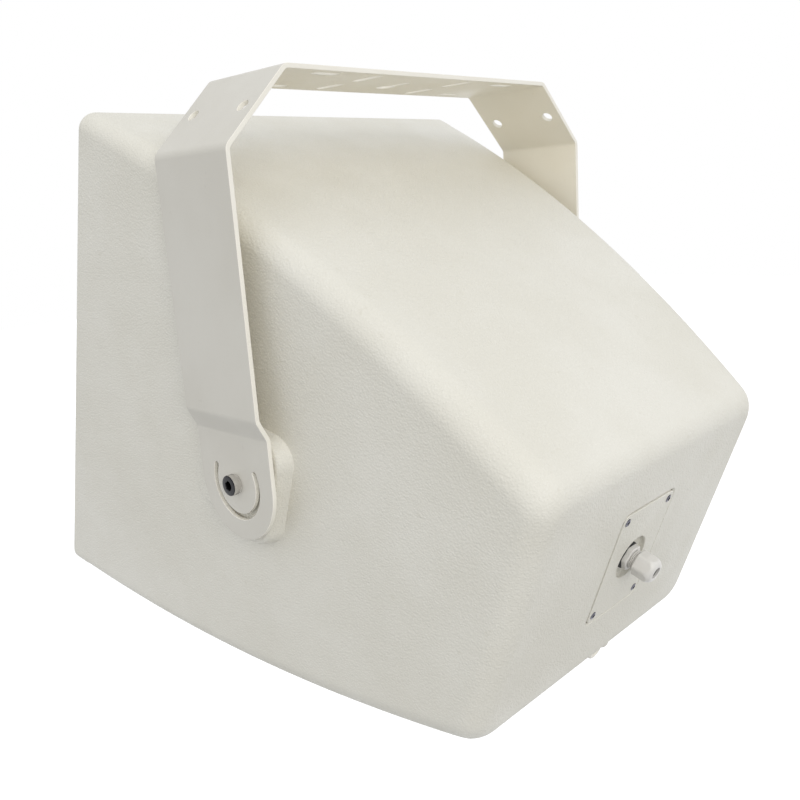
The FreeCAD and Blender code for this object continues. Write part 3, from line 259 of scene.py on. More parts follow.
# Finishes: name, colour, worn colour, roughness, grain, grain per metre, relief, patches per metre,
# and where it has them, metallic and coat
FINISH_TABLE = [
    ("housing_plastic", (236, 234, 226), (224, 221, 210), 0.5, "pebble", 640, 0.34, 6.0),
    ("yoke_paint", (217, 214, 205), (207, 203, 193), 0.38, "coat", 700, 0.05, 7.0),
    # Lighter, warmer copy of the yoke paint for the yoke's inside faces: painted bounce light from the housing's
    # top
    ("yoke_inside_painted_bounce_light", (243, 238, 224), (236, 229, 212), 0.4, "coat", 700, 0.05, 7.0),
    # Whitest coat: on the yoke's cut edges it is painted highlight, on the safety eye it is the eye's own white
    ("white_coat_and_edge_highlight", (248, 245, 236), (240, 235, 223), 0.35, "coat", 900, 0.04, 20.0),
    ("grille_paint", (224, 222, 213), (210, 207, 197), 0.45, "coat", 900, 0.05, 9.0),
    ("foam", (40, 40, 41), (26, 26, 27), 0.9, "pebble", 900, 0.6, 9.0),
    ("baffle_plastic", (46, 46, 47), (36, 36, 37), 0.55, "pebble", 700, 0.12, 9.0),
    ("rubber", (30, 30, 31), (42, 42, 42), 0.7, "coat", 1500, 0.05, 9.0),
    ("nylon", (226, 224, 220), (210, 207, 201), 0.35, "coat", 1100, 0.04, 40.0),
    ("steel", (226, 224, 221), (186, 183, 178), 0.2, "tool", 2200, 0.03, 90.0, 1.0),
    ("black_steel", (26, 26, 29), (46, 46, 49), 0.27, "tool", 2600, 0.03, 120.0, 0.6),
    ("dark_zinc", (92, 92, 102), (128, 128, 136), 0.26, "tool", 2600, 0.03, 120.0, 1.0),
    ("brass", (196, 164, 96), (150, 118, 62), 0.35, "tool", 2400, 0.03, 90.0, 1.0),
    ("copper", (176, 96, 56), (128, 62, 34), 0.35, "tool", 1600, 0.2, 50.0, 0.9),
    ("ferrite", (62, 62, 65), (44, 44, 46), 0.6, "pebble", 1500, 0.08, 9.0, 0.2),
    ("cast_alloy", (88, 88, 90), (66, 66, 68), 0.5, "pebble", 900, 0.1, 9.0, 0.4),
    ("paper", (58, 57, 56), (40, 40, 39), 0.85, "pebble", 800, 0.15, 30.0),
    ("circuit_board", (38, 92, 58), (28, 74, 46), 0.4, "coat", 500, 0.04, 60.0, 0.0, 0.3),
    ("film_capacitor", (206, 168, 62), (178, 138, 44), 0.3, "coat", 900, 0.04, 60.0, 0.0, 0.2),
    ("laminations", (104, 104, 106), (74, 72, 70), 0.45, "tool", 1800, 0.25, 60.0, 0.8),
]
PATCH_WEAR = 0.5
MARK_WEAR = 0.35
VALLEY_WEAR = 0.35
GLOSS_SPREAD = 0.06

# Studio
ROOM_COLOUR = (0.97, 0.985, 1.0, 1.0)
ROOM_LIGHT = 0.81
FLOOR_REACH = 12.0
FLOOR_DROP = 1.1
FLOOR_BOUNCE = (0.38, 0.38, 0.38, 1.0)
FLOOR_ROUGHNESS = 0.9
FLOOR_TONES = (0.86, 0.9)
FLOOR_GLOW = 0.5
LAMP_TARGET = (0, 0, -0.3)
LAMPS = [  # name, place, size, power, colour
    ("key_lamp", (0.84, 2.04, 0.64), 2.0, 17.5, (1.0, 0.97, 0.92)),
    ("fill_lamp", (2.2, 0.3, 0.6), 1.8, 3.0, (1.0, 0.98, 0.95)),
]
CAMERA_PLACE = (0.5384, 0.5193, -0.0919)
CAMERA_FORWARD = (-0.6876, -0.6872, -0.2342)
CAMERA_RIGHT = (-0.6940, 0.7169, -0.0661)
CAMERA_SENSOR = 36.0
CAMERA_CLIP = 0.01
CAMERA_LENS = 38.21


def link(name, data):
    holder = bpy.data.objects.new(name, data)
    bpy.context.scene.collection.objects.link(holder)
    return holder


joints = {joint["name"]: joint for joint in frame["joints"]}
pivot = Vector(joints["cabinet_tilt"]["pos_m"])
YOKE_FRAME = Matrix.Translation(pivot) @ Matrix.Scale(MM, 4)
CABINET_FRAME = (YOKE_FRAME @ Matrix.Rotation(radians(-REST_TILT), 4, "X")
                 @ Matrix.Translation((0, -PIVOT_DEPTH, 0)))
BODY_FRAMES = {"bracket": YOKE_FRAME, "cabinet": CABINET_FRAME}
REARWARD = (0, 1, 0)
FORWARD = (0, -1, 0)
DOWN = (0, 0, -1)


# Building blocks

def mesh_in_frame(name, bm, to_frame):
    """Turn a drawing in millimetres into a mesh in the shared frame."""
    bmesh.ops.transform(bm, matrix=to_frame, verts=bm.verts)
    bmesh.ops.recalc_face_normals(bm, faces=bm.faces)
    mesh = bpy.data.meshes.new(name)
    bm.to_mesh(mesh)
    bm.free()
    return mesh


def smooth_mesh(mesh, sharp_angle=SHARP_ANGLE):
    mesh.shade_smooth()
    mesh.set_sharp_from_angle(angle=radians(sharp_angle))


def dress_piece(piece, body, finish):
    # Clearing an empty list would still reset the faces' own material numbers
    if piece.data.materials:
        piece.data.materials.clear()
    piece.data.materials.append(FINISHES[finish])
    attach(piece, body)


def place_piece(name, bm, finish, node, body="cabinet"):
    """Turn a drawing in millimetres into a piece that rides on a body and stands for a CAD node."""
    piece = link(name, mesh_in_frame(name, bm, BODY_FRAMES[body]))
    smooth_mesh(piece.data)
    dress_piece(piece, body, finish)
    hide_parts(node)
    return piece


def even_normals(piece):
    """Weight the normals by face area, so that wide flat faces stay flat beside small round edges."""
    piece.modifiers.new("even_normals", "WEIGHTED_NORMAL").keep_sharp = True


def final_mesh(piece):
    return bpy.data.meshes.new_from_object(piece.evaluated_get(bpy.context.evaluated_depsgraph_get()))


def cut_or_join(piece, bm, operation):
    """Cut a drawn solid out of a piece of the cabinet, or join it on. The solid itself isn't kept."""
    solid = link("shaping_solid", mesh_in_frame("shaping_solid", bm, CABINET_FRAME))
    modifier = piece.modifiers.new("shape", "BOOLEAN")
    modifier.operation = operation
    modifier.solver = "EXACT"
    modifier.object = solid
    shaped = final_mesh(piece)
    piece.modifiers.clear()
    piece.data = shaped
    bpy.data.objects.remove(solid)


def skin_rings(bm, rings, closed=False):
    """Quads between rings of points; a ring of one point closes to a tip."""
    rows = [[bm.verts.new(point) for point in ring] for ring in rings]
    pairs = list(zip(rows, rows[1:]))
    if closed:
        pairs.append((rows[-1], rows[0]))
    for first, second in pairs:
        count = max(len(first), len(second))
        for step in range(count):
            ahead = (step + 1) % count
            corners = dict.fromkeys((first[step % len(first)], first[ahead % len(first)],
                                     second[ahead % len(second)], second[step % len(second)]))
            if len(corners) > 2:
                bm.faces.new(list(corners))
    return rows


def capped_solid(rings):
    """A solid through rings of points, with a flat face at both ends."""
    bm = bmesh.new()
    rows = skin_rings(bm, rings)
    bm.faces.new(rows[0])
    bm.faces.new(rows[-1])
    return bm


def turn_outline(bm, outline, steps, along, at, closed=False):
    """Turn (radius, distance) points about an axis through a point, and return the drawing.

    A radius may be a function of the angle.
    """
    axis = Vector(along)
    side = axis.orthogonal().normalized() if axis.z else Vector((0, 0, 1))
    other = axis.cross(side)
    rings = []
    for radius, distance in outline:
        middle = Vector(at) + axis * distance
        if radius == 0:
            rings.append([middle])
            continue
        ring = []
        for step in range(steps):
            angle = 2 * pi * step / steps
            reach = radius(angle) if callable(radius) else radius
            ring.append(middle + side * (reach * cos(angle)) + other * (reach * sin(angle)))
        rings.append(ring)
    skin_rings(bm, rings, closed)
    return bm


def plug(radius, start, end, along, at):
    outline = [(0, start), (radius, start), (radius, end), (0, end)]
    return turn_outline(bmesh.new(), outline, HOLE_STEPS, along, at)


def hexagon(width, corner_limit=None):
    """The radius of a hexagon of that width over its flats, its corners cut back to a limit."""
    def radius(angle):
        off_flat = (angle + pi / 6) % (pi / 3) - pi / 6
        reach = width / 2 / cos(off_flat)
        return min(reach, corner_limit) if corner_limit else reach
    return radius


def cross_recess(length, width):
    """The radius of a cross-shaped screw recess."""
    def radius(angle):
        off_wing = abs((angle + pi / 4) % (pi / 2) - pi / 4)
        if tan(off_wing) < width / length:
            return length / 2 / cos(off_wing)
        return width / 2 / sin(off_wing)
    return radius


def cross_screw(radius, crown, shank, length, countersink):
    """A cross-recessed head and its shank, from the middle of the recess outwards; 0 is the seat's face."""
    recess = cross_recess(1.25 * radius, 0.42 * radius)
    deep = cross_recess(0.95 * radius, 0.3 * radius)
    head = [(0, crown - 0.55 * radius), (deep, crown - 0.5 * radius), (recess, crown * 0.96),
            (0.8 * radius, crown * 0.8), (0.94 * radius, crown * 0.45), (radius, 0.0)]
    return head + [(shank, -countersink), (shank, -length), (0, -length)]


def screws_at(places, depth, along, outline):
    bm = bmesh.new()
    for x, z in places:
        turn_outline(bm, outline, SCREW_STEPS, along, (x, depth, z))
    return bm


def four_places(x, z, centre_z=0.0):
    return [(sx * x, centre_z + sz * z) for sx in (1, -1) for sz in (1, -1)]


def quarter_turn(steps):
    """The cosine and sine of angles from 0 to 90 degrees."""
    angles = [pi / 2 * step / steps for step in range(steps + 1)]
    return [(cos(angle), sin(angle)) for angle in angles]


def washer_outline(inner, outer, thickness, edge):
    return [(inner, edge), (inner + edge, 0), (outer - edge, 0), (outer, edge),
            (outer, thickness - edge), (outer - edge, thickness), (inner + edge, thickness),
            (inner, thickness - edge)]


def round_outline(centre, radius, steps=HOLE_STEPS, start=0.0, sweep=360.0):
    whole = sweep == 360.0
    points = []
    for step in range(steps if whole else steps + 1):
        angle = radians(start + sweep * step / steps)
        points.append((centre[0] + radius * cos(angle), centre[1] + radius * sin(angle)))
    return points


def slot_outline(first, second, width):
    """A round-ended slot between the centres of its two ends."""
    heading = degrees(atan2(second[1] - first[1], second[0] - first[0]))
    return (round_outline(second, width / 2, 14, heading - 90, 180)
            + round_outline(first, width / 2, 14, heading + 90, 180))


def rounded_rectangle(half_x, half_y, radius, centre=(0.0, 0.0), steps=8):
    points = []
    for start, sx, sy in ((0, 1, 1), (90, -1, 1), (180, -1, -1), (270, 1, -1)):
        corner = (centre[0] + sx * (half_x - radius), centre[1] + sy * (half_y - radius))
        points += round_outline(corner, radius, steps, start, 90)
    return points


def cut_sheet(outlines, thickness, edge_radius):
    """A flat sheet in the XY plane with soft edges: the first outline's shape, less the other outlines."""
    curve = bpy.data.curves.new("sheet", "CURVE")
    curve.dimensions = "2D"
    curve.fill_mode = "BOTH"
    curve.extrude = thickness / 2 - edge_radius
    curve.bevel_depth = edge_radius
    curve.bevel_resolution = 2
    curve.offset = -edge_radius
    for outline in outlines:
        spline = curve.splines.new("POLY")
        spline.points.add(len(outline) - 1)
        for point, (x, y) in zip(spline.points, outline):
            point.co = (x, y, 0, 1)
        spline.use_cyclic_u = True
    holder = link("sheet", curve)
    bm = bmesh.new()
    bm.from_mesh(final_mesh(holder))
    bpy.data.objects.remove(holder)
    bmesh.ops.remove_doubles(bm, verts=bm.verts, dist=edge_radius / 50)
    return bm


# Finishes

def srgb(red, green, blue):
    """A colour as it looks on screen, 0 to 255, as Blender's linear colour."""
    def linear(value):
        value /= 255
        return value / 12.92 if value <= 0.04045 else ((value + 0.055) / 1.055) ** 2.4
    return (linear(red), linear(green), linear(blue), 1.0)


def new_group(name, number, value, outputs):
    """A node group with one number to set, that number's socket and the output node."""
    group = bpy.data.node_groups.new(name, "ShaderNodeTree")
    group.interface.new_socket(number, in_out="INPUT", socket_type="NodeSocketFloat").default_value = value
    for title in outputs:
        group.interface.new_socket(title, in_out="OUTPUT", socket_type="NodeSocketFloat")
    return group, group.nodes.new("NodeGroupInput").outputs[0], group.nodes.new("NodeGroupOutput")


def feed(tree, node, inputs):
    """Give a node's inputs, by title or number, a value or another node's output."""
    for title, value in dict(inputs).items():
        if isinstance(value, bpy.types.NodeSocket):
            tree.links.new(value, node.inputs[title])
        else:
            node.inputs[title].default_value = value


def add_node(tree, kind, inputs=(), **settings):
    node = tree.nodes.new(kind)
    for title, value in settings.items():
        setattr(node, title, value)
    feed(tree, node, inputs)
    return node


def math_node(tree, operation, first, second):
    return add_node(tree, "ShaderNodeMath", {0: first, 1: second}, operation=operation).outputs[0]


def add_shares(tree, total, *shares):
    """A number or output, plus shares of other outputs."""
    for value, share in shares:
        total = math_node(tree, "ADD", total, math_node(tree, "MULTIPLY", value, share))
    return total


def range_node(tree, value, low, high, to_low, to_high):
    limits = {"From Min": low, "From Max": high, "To Min": to_low, "To Max": to_high}
    node = add_node(tree, "ShaderNodeMapRange", {"Value": value, **limits}, interpolation_type="SMOOTHSTEP")
    return node.outputs["Result"]


def own_place(tree):
    return add_node(tree, "ShaderNodeTexCoord").outputs["Object"]


def noise_node(tree, scale, detail, roughness=0.5, place=None):
    """Noise on the piece's own coordinates, or on those given. The scale is per metre."""
    place = own_place(tree) if place is None else place
    return add_node(tree, "ShaderNodeTexNoise", {
        "Vector": place, "Scale": scale, "Detail": detail, "Roughness": roughness}).outputs["Fac"]


def pebble_group():
    """Moulded pebble grain: low rounded cells of uneven height, with fine grit on them."""
    group, size, made = new_group("pebble_grain", "Cells per metre", 420.0, ("Height", "Valley"))
    cells = add_node(group, "ShaderNodeTexVoronoi", {
        "Vector": own_place(group), "Scale": size, "Smoothness": 0.8}, feature="SMOOTH_F1")
    bumps = math_node(group, "SUBTRACT", 0.8, cells.outputs["Distance"])
    drift = noise_node(group, math_node(group, "MULTIPLY", size, 0.45), 3.0)
    grit = noise_node(group, math_node(group, "MULTIPLY", size, 3.2), 2.0)
    height = add_shares(group, bumps, (drift, 0.4), (grit, 0.25))
    feed(group, made, {"Height": height, "Valley": range_node(group, height, 0.65, 1.15, 1.0, 0.0)})
    return group


def handling_group():
    """Uneven tone and gloss from handling and weather, and a sparse scatter of small marks."""
    group, size, made = new_group("handling_marks", "Patches per metre", 9.0, ("Patch", "Marks"))
    broad = noise_node(group, size, 4.0, 0.6)
    fine = noise_node(group, math_node(group, "MULTIPLY", size, 22.0), 2.0, 0.7)
    feed(group, made, {"Patch": range_node(group, broad, 0.32, 0.68, 0.0, 1.0),
                       "Marks": range_node(group, fine, 0.66, 0.76, 0.0, 1.0)})
    return group


def orange_peel_group():
    """The shallow waves that a sprayed or powder coat dries to."""
    group, size, made = new_group("coat_waves", "Waves per metre", 600.0, ("Height",))
    waves = noise_node(group, size, 1.5)
    specks = noise_node(group, math_node(group, "MULTIPLY", size, 4.0), 2.0)
    feed(group, made, {"Height": add_shares(group, waves, (specks, 0.2))})
    return group


def turned_metal_group():
    """Fine tool lines, stretched one way across the metal."""
    group, size, made = new_group("tool_lines", "Lines per metre", 900.0, ("Height",))
    stretch = add_node(
        group, "ShaderNodeMapping", {"Vector": own_place(group), "Scale": (0.08, 1.0, 1.0)})
    feed(group, made, {"Height": noise_node(group, size, 3.0, place=stretch.outputs["Vector"])})
    return group


GRAINS = {"pebble": pebble_group(), "coat": orange_peel_group(), "tool": turned_metal_group()}
HANDLING = handling_group()


def new_finish(name, colour, worn_colour, roughness, grain, grain_size, relief, patches,
               metallic=0.0, coat=0.0):
    """A procedural finish: its colour drifts towards a worn one, its grain gives bump and uneven gloss."""
    material = bpy.data.materials.new(name)
    material.use_nodes = True
    material.diffuse_color = srgb(*colour)
    tree = material.node_tree
    texture = add_node(tree, "ShaderNodeGroup", {0: grain_size}, node_tree=GRAINS[grain])
    marks = add_node(tree, "ShaderNodeGroup", {0: patches}, node_tree=HANDLING)
    wear = add_shares(tree, 0.0, (marks.outputs["Patch"], PATCH_WEAR), (marks.outputs["Marks"], MARK_WEAR))
    if "Valley" in texture.outputs:
        wear = add_shares(tree, wear, (texture.outputs["Valley"], VALLEY_WEAR))
    # A Mix node's colours go in at 6 and 7 and come out at 2
    tones = {0: wear, 6: srgb(*colour), 7: srgb(*worn_colour)}
    mix = add_node(tree, "ShaderNodeMix", tones, data_type="RGBA")
    gloss = range_node(
        tree, marks.outputs["Patch"], 0.0, 1.0, roughness - GLOSS_SPREAD, roughness + GLOSS_SPREAD)
    bump = add_node(tree, "ShaderNodeBump", {
        "Strength": 1.0, "Distance": relief * MM, "Height": texture.outputs["Height"]})
    feed(tree, tree.nodes["Principled BSDF"], {
        "Base Color": mix.outputs[2], "Metallic": metallic, "Roughness": gloss,
        "Normal": bump.outputs["Normal"], "Coat Weight": coat})
    return material


FINISHES = {row[0]: new_finish(*row) for row in FINISH_TABLE}


# Housing

def along_depth(front, rear, depth):
    """A value that changes evenly from the housing's front to its rear."""
    return front + (rear - front) * depth / HOUSING_DEPTH


def half_width(depth):
    return along_depth(FRONT_HALF_WIDTH, REAR_HALF_WIDTH, depth)


def bow_centre_and_radius():
    """The circle that the top wall follows: through its front, its raised middle and its rear."""
    middle = (FRONT_HALF_HEIGHT + REAR_HALF_HEIGHT) / 2 + WALL_BULGE
    points = [(0, FRONT_HALF_HEIGHT), (HOUSING_DEPTH / 2, middle), (HOUSING_DEPTH, REAR_HALF_HEIGHT)]
    (y1, z1), (y2, z2), (y3, z3) = points
    squares = [y * y + z * z for y, z in points]
    double_area = 2 * (y1 * (z2 - z3) + y2 * (z3 - z1) + y3 * (z1 - z2))
    y = (squares[0] * (z2 - z3) + squares[1] * (z3 - z1) + squares[2] * (z1 - z2)) / double_area
    z = (squares[0] * (y3 - y2) + squares[1] * (y1 - y3) + squares[2] * (y2 - y1)) / double_area
    return y, z, hypot(y1 - y, z1 - z)


BOW_Y, BOW_Z, BOW_RADIUS = bow_centre_and_radius()


def half_height(depth):
    return BOW_Z + sqrt(BOW_RADIUS ** 2 - (depth - BOW_Y) ** 2)


def blend_step(low, high, value):
    share = min(max((value - low) / (high - low), 0), 1)
    return share * share * (3 - 2 * share)


def rounded_to_rear(wall, depth):
    """A wall's distance from the middle at a depth, with a round edge that runs into the rear face."""
    start = HOUSING_DEPTH - REAR_EDGE_RADIUS
    fall = wall(HOUSING_DEPTH - 1) - wall(HOUSING_DEPTH)
    lean = atan(fall)
    turn = asin(min(max((depth - start) / REAR_EDGE_RADIUS, 0), 1))
    if turn <= lean:
        return wall(depth)
    centre = wall(HOUSING_DEPTH) + REAR_EDGE_RADIUS * (fall - 1 / cos(lean))
    return min(wall(depth), centre + REAR_EDGE_RADIUS * cos(turn))


def housing_ring(depth, wide, high, radius):
    """One closed ring round the housing, up the right side, over the top, down the left and back."""
    flat_x = wide - radius
    flat_z = high - radius
    upper = [(wide, flat_z * (2 * step / SIDE_STEPS - 1)) for step in range(SIDE_STEPS // 2, SIDE_STEPS + 1)]
    corner = quarter_turn(CORNER_STEPS)[1:-1]
    upper += [(flat_x + radius * run, flat_z + radius * rise) for run, rise in corner]
    upper += [(flat_x * (1 - 2 * step / TOP_STEPS), high) for step in range(TOP_STEPS // 2 + 1)]
    half = upper + [(-x, z) for x, z in reversed(upper)][1:]
    under = [(-x, -z) for x, z in half]
    return [(x, depth, z) for x, z in half[:-1] + under[:-1]]


def outer_rings():
    """Rings from the front lip to the rear face."""
    lip = reversed(quarter_turn(LIP_STEPS))
    levels = [(FRONT_LIP_RADIUS * (1 - rise), FRONT_LIP_RADIUS * (1 - run)) for run, rise in lip]
    depth = FRONT_LIP_RADIUS
    rear_start = HOUSING_DEPTH - REAR_EDGE_RADIUS
    while depth < rear_start:
        depth = min(depth + (FINE_RING_STEP if depth < FINE_RINGS_END else RING_STEP), rear_start)
        levels.append((depth, 0.0))
    levels += [(rear_start + REAR_EDGE_RADIUS * rise, 0.0) for run, rise in quarter_turn(REAR_EDGE_STEPS)[1:]]
    rings = []
    for depth, inset in levels:
        band = -LIP_BAND_STAND * blend_step(LIP_FADE_START, LIP_FADE_END, depth)
        wide = rounded_to_rear(half_width, depth)
        high = rounded_to_rear(half_height, depth)
        drawn_in = inset + (half_width(depth) - wide + half_height(depth) - high) / 2
        corner = along_depth(LONG_EDGE_FRONT_RADIUS, LONG_EDGE_REAR_RADIUS, depth) - drawn_in
        rings.append(housing_ring(depth, wide - inset + band, high - inset + band, corner))
    rings.append(housing_ring(
        HOUSING_DEPTH, wide - REAR_FACE_INSET, high - REAR_FACE_INSET, corner - REAR_FACE_CORNER_INSET))
    return rings


def inner_rings():
    """The inside of the wall, from the rear to the front rim."""
    last = HOUSING_DEPTH - REAR_WALL
    levels = [(last - INNER_REAR_RADIUS * (1 - run), INNER_REAR_RADIUS * (1 - rise))
              for run, rise in quarter_turn(INNER_REAR_STEPS)]
    straight = last - INNER_REAR_RADIUS
    levels += [(straight * (1 - step / INNER_STEPS), 0.0) for step in range(1, INNER_STEPS + 1)]
    rings = []
    for depth, inset in levels:
        corner = along_depth(INNER_EDGE_RADIUS, INNER_EDGE_REAR_RADIUS, depth)
        wide = half_width(depth) - WALL - inset
        high = half_height(depth) - WALL - inset
        rings.append(housing_ring(depth, wide, high, max(corner - inset, INNER_LEAST_RADIUS)))
    return rings


def plate_pocket():
    """The pocket that the rear plate sits in, with a soft rim."""
    rings = []
    for stand, grow in POCKET_PROFILE:
        fit = PLATE_FIT + grow
        outline = rounded_rectangle(
            PLATE_HALF_WIDTH + fit, PLATE_HALF_HEIGHT + fit, PLATE_CORNER_RADIUS + fit, (0, PLATE_CENTRE_Z))
        rings.append([(x, HOUSING_DEPTH + stand, z) for x, z in outline])
    return capped_solid(rings)


def pivot_boss(side):
    """The pad that the yoke's ear turns against: a rounded square that runs out at its front."""
    profile = [(BOSS_FACE_X - BOSS_RUN, BOSS_SPREAD)]
    draft = BOSS_SPREAD / BOSS_RUN
    for run, rise in quarter_turn(BOSS_RIM_STEPS):
        back = BOSS_RIM_RADIUS * (1 - rise)
        profile.append((BOSS_FACE_X - back, draft * back - BOSS_RIM_RADIUS * (1 - run)))
    profile.append((BOSS_FACE_X, -BOSS_RIM_RADIUS - BOSS_FACE_INSET))
    middle = (PIVOT_DEPTH + (BOSS_REAR_REACH - BOSS_FRONT_REACH) / 2, 0)
    half_length = (BOSS_REAR_REACH + BOSS_FRONT_REACH) / 2
    rings = []
    for x, grow in profile:
        outline = rounded_rectangle(
            half_length + grow, BOSS_HALF_HEIGHT + grow, BOSS_CORNER_RADIUS + grow, middle, 12)
        rings.append([(side * x, y, z) for y, z in outline])
    return capped_solid(rings)


def make_housing():
    bm = capped_solid(outer_rings()[::-1] + inner_rings()[::-1])
    housing = place_piece("housing", bm, "housing_plastic", "enclosure_shell")

    # The pivot bosses and the safety eye's pad are joined on
    for side in (1, -1):
        cut_or_join(housing, pivot_boss(side), "UNION")
    eye_place = (ANCHOR_X, ANCHOR_DEPTH, 0)
    pad = [(0, ANCHOR_PAD_ROOT), (ANCHOR_PAD_RADIUS, ANCHOR_PAD_ROOT),
           (ANCHOR_PAD_RADIUS, ANCHOR_DROP - ANCHOR_PAD_EDGE),
           (ANCHOR_PAD_RADIUS - ANCHOR_PAD_EDGE, ANCHOR_DROP), (0, ANCHOR_DROP)]
    cut_or_join(housing, turn_outline(bmesh.new(), pad, ROUND_STEPS, DOWN, eye_place), "UNION")

    # The eye's flat seat, the plate's pocket, the room behind its cup and the insert holes are cut out
    cup_place = (0, HOUSING_DEPTH - 1, PLATE_CENTRE_Z)
    hollows = [
        plug(ANCHOR_SPOT_RADIUS, ANCHOR_DROP, ANCHOR_DROP + CUT_REACH, DOWN, eye_place), plate_pocket(),
        plug(CUP_RADIUS + CUP_ROOM, -CUT_REACH, 0, REARWARD, cup_place)]
    for side in (1, -1):
        for radius, depth, drop in ((LOCK_HOLE_RADIUS, LOCK_HOLE_DEPTH, LOCK_HOLE_DROP),
                                    (INSERT_HOLE_RADIUS, INSERT_HOLE_DEPTH, 0)):
            place = (side * BOSS_FACE_X, PIVOT_DEPTH, -drop)
            hollows.append(plug(radius, -depth, HOLE_OVERCUT, (side, 0, 0), place))
    for hollow in hollows:
        cut_or_join(housing, hollow, "DIFFERENCE")
    smooth_mesh(housing.data, HOUSING_SHARP_ANGLE)
    dress_piece(housing, "cabinet", "housing_plastic")
    even_normals(housing)


# Yoke

def towards(heading):
    return Vector((cos(heading), sin(heading)))


def fold_runs():
    """The middle line of the folded strip, right ear to left ear, as straight runs and bends in turn:
    (start length, length, start point, heading, curvature)."""
    half = YOKE_SHEET / 2
    ear_x = EAR_OUTER_X - half
    arm_x = YOKE_HALF_WIDTH - half
    right = [
        (ear_x, -YOKE_STRIP_WIDTH / 2), (ear_x, JOGGLE_BOTTOM), (arm_x, JOGGLE_TOP),
        (arm_x, YOKE_HEIGHT - YOKE_CHAMFER_RISE), (YOKE_HALF_WIDTH - YOKE_CHAMFER_RUN, YOKE_HEIGHT - half)]
    corners = [Vector(point) for point in right + [(-x, z) for x, z in reversed(right)]]
    steps = [end - start for start, end in zip(corners, corners[1:])]
    headings = [atan2(step.y, step.x) for step in steps]
    runs = []
    length = 0.0
    point = corners[0]
    for corner, heading, following in zip(corners[1:], headings, headings[1:] + headings[-1:]):
        turn = (following - heading + pi) % (2 * pi) - pi
        trim = YOKE_BEND_RADIUS * tan(abs(turn) / 2)
        straight = (corner - point).length - trim
        runs.append((length, straight, point, heading, 0.0))
        length += straight
        if turn:
            curvature = copysign(1 / YOKE_BEND_RADIUS, turn)
            bend = abs(turn) * YOKE_BEND_RADIUS
            runs.append((length, bend, point + towards(heading) * straight, heading, curvature))
            length += bend
            point = corner + towards(following) * trim
    return runs, length


def folded_point(runs, length, across, lift):
    """Where a point of the flat strip goes when the strip is folded."""
    for start, span, point, heading, curvature in reversed(runs):
        if length >= start - 1e-6:
            break
    travel = length - start
    if curvature:
        turned = heading + curvature * travel
        middle = point + Vector((-sin(heading), cos(heading))) / curvature
        point = middle + Vector((sin(turned), -cos(turned))) / curvature
        heading = turned
    else:
        point = point + towards(heading) * travel
    return (point.x - sin(heading) * lift, across, point.y + cos(heading) * lift)


def curved_slot(centre, radius, width, middle, half_angle):
    """A curved slot's outline about a centre, its middle in a direction given in degrees."""
    low, high = middle - half_angle, middle + half_angle
    ends = round_outline(centre, radius, 1, low, high - low)
    inner = round_outline(centre, radius - width / 2, 60, low, high - low)
    return (round_outline(centre, radius + width / 2, 60, low, high - low)
            + round_outline(ends[1], width / 2, 8, high, 180)[1:-1]
            + inner[::-1]
            + round_outline(ends[0], width / 2, 8, low + 180, 180)[1:-1])


def keyhole_outline(centre_length):
    """The keyhole in the middle of the top plate, its slot towards the rear."""
    hole = (centre_length, KEYHOLE_Y)
    opening = degrees(asin(KEYHOLE_SLOT_WIDTH / 2 / KEYHOLE_RADIUS))
    around = round_outline(hole, KEYHOLE_RADIUS, 30, 90 + opening, 360 - 2 * opening)
    tip = (centre_length, KEYHOLE_SLOT_END - KEYHOLE_SLOT_WIDTH / 2)
    return around + round_outline(tip, KEYHOLE_SLOT_WIDTH / 2, 12, 0, 180)


def yoke_outlines(runs, total):
    """The flat strip with round ears, and everything that is punched out of it."""
    ear = YOKE_STRIP_WIDTH / 2
    outlines = [round_outline((ear, 0), ear, ROUND_STEPS, 90, 180)
                + round_outline((total - ear, 0), ear, ROUND_STEPS, -90, 180)]
    for pivot_at, downward in ((ear, 180), (total - ear, 0)):
        outlines.append(round_outline((pivot_at, 0), PIVOT_HOLE_RADIUS))
        outlines.append(curved_slot(
            (pivot_at, 0), LOCK_HOLE_DROP, ARC_SLOT_WIDTH, downward, ARC_SLOT_HALF_ANGLE))
    middle = total / 2
    for side in (1, -1):
        for row in (1, -1):
            x, y = middle + side * CORNER_SLOT_X, row * CORNER_SLOT_Y
            run = (CORNER_SLOT_LENGTH - SLOT_WIDTH) / 2
            outlines.append(slot_outline((x - run, y), (x + run, y), SLOT_WIDTH))
            x, y = middle + side * INNER_SLOT_X, row * INNER_SLOT_Y
            run = (INNER_SLOT_LENGTH - SLOT_WIDTH) / 2
            outlines.append(slot_outline((x, y - run), (x, y + run), SLOT_WIDTH))
    outlines.append(keyhole_outline(middle))
    for index in SHOULDER_RUNS:
        start, span = runs[index][:2]
        for row in (1, -1):
            outlines.append(round_outline((start + span / 2, row * RIGGING_HOLE_Y), RIGGING_HOLE_RADIUS, 32))
    return outlines


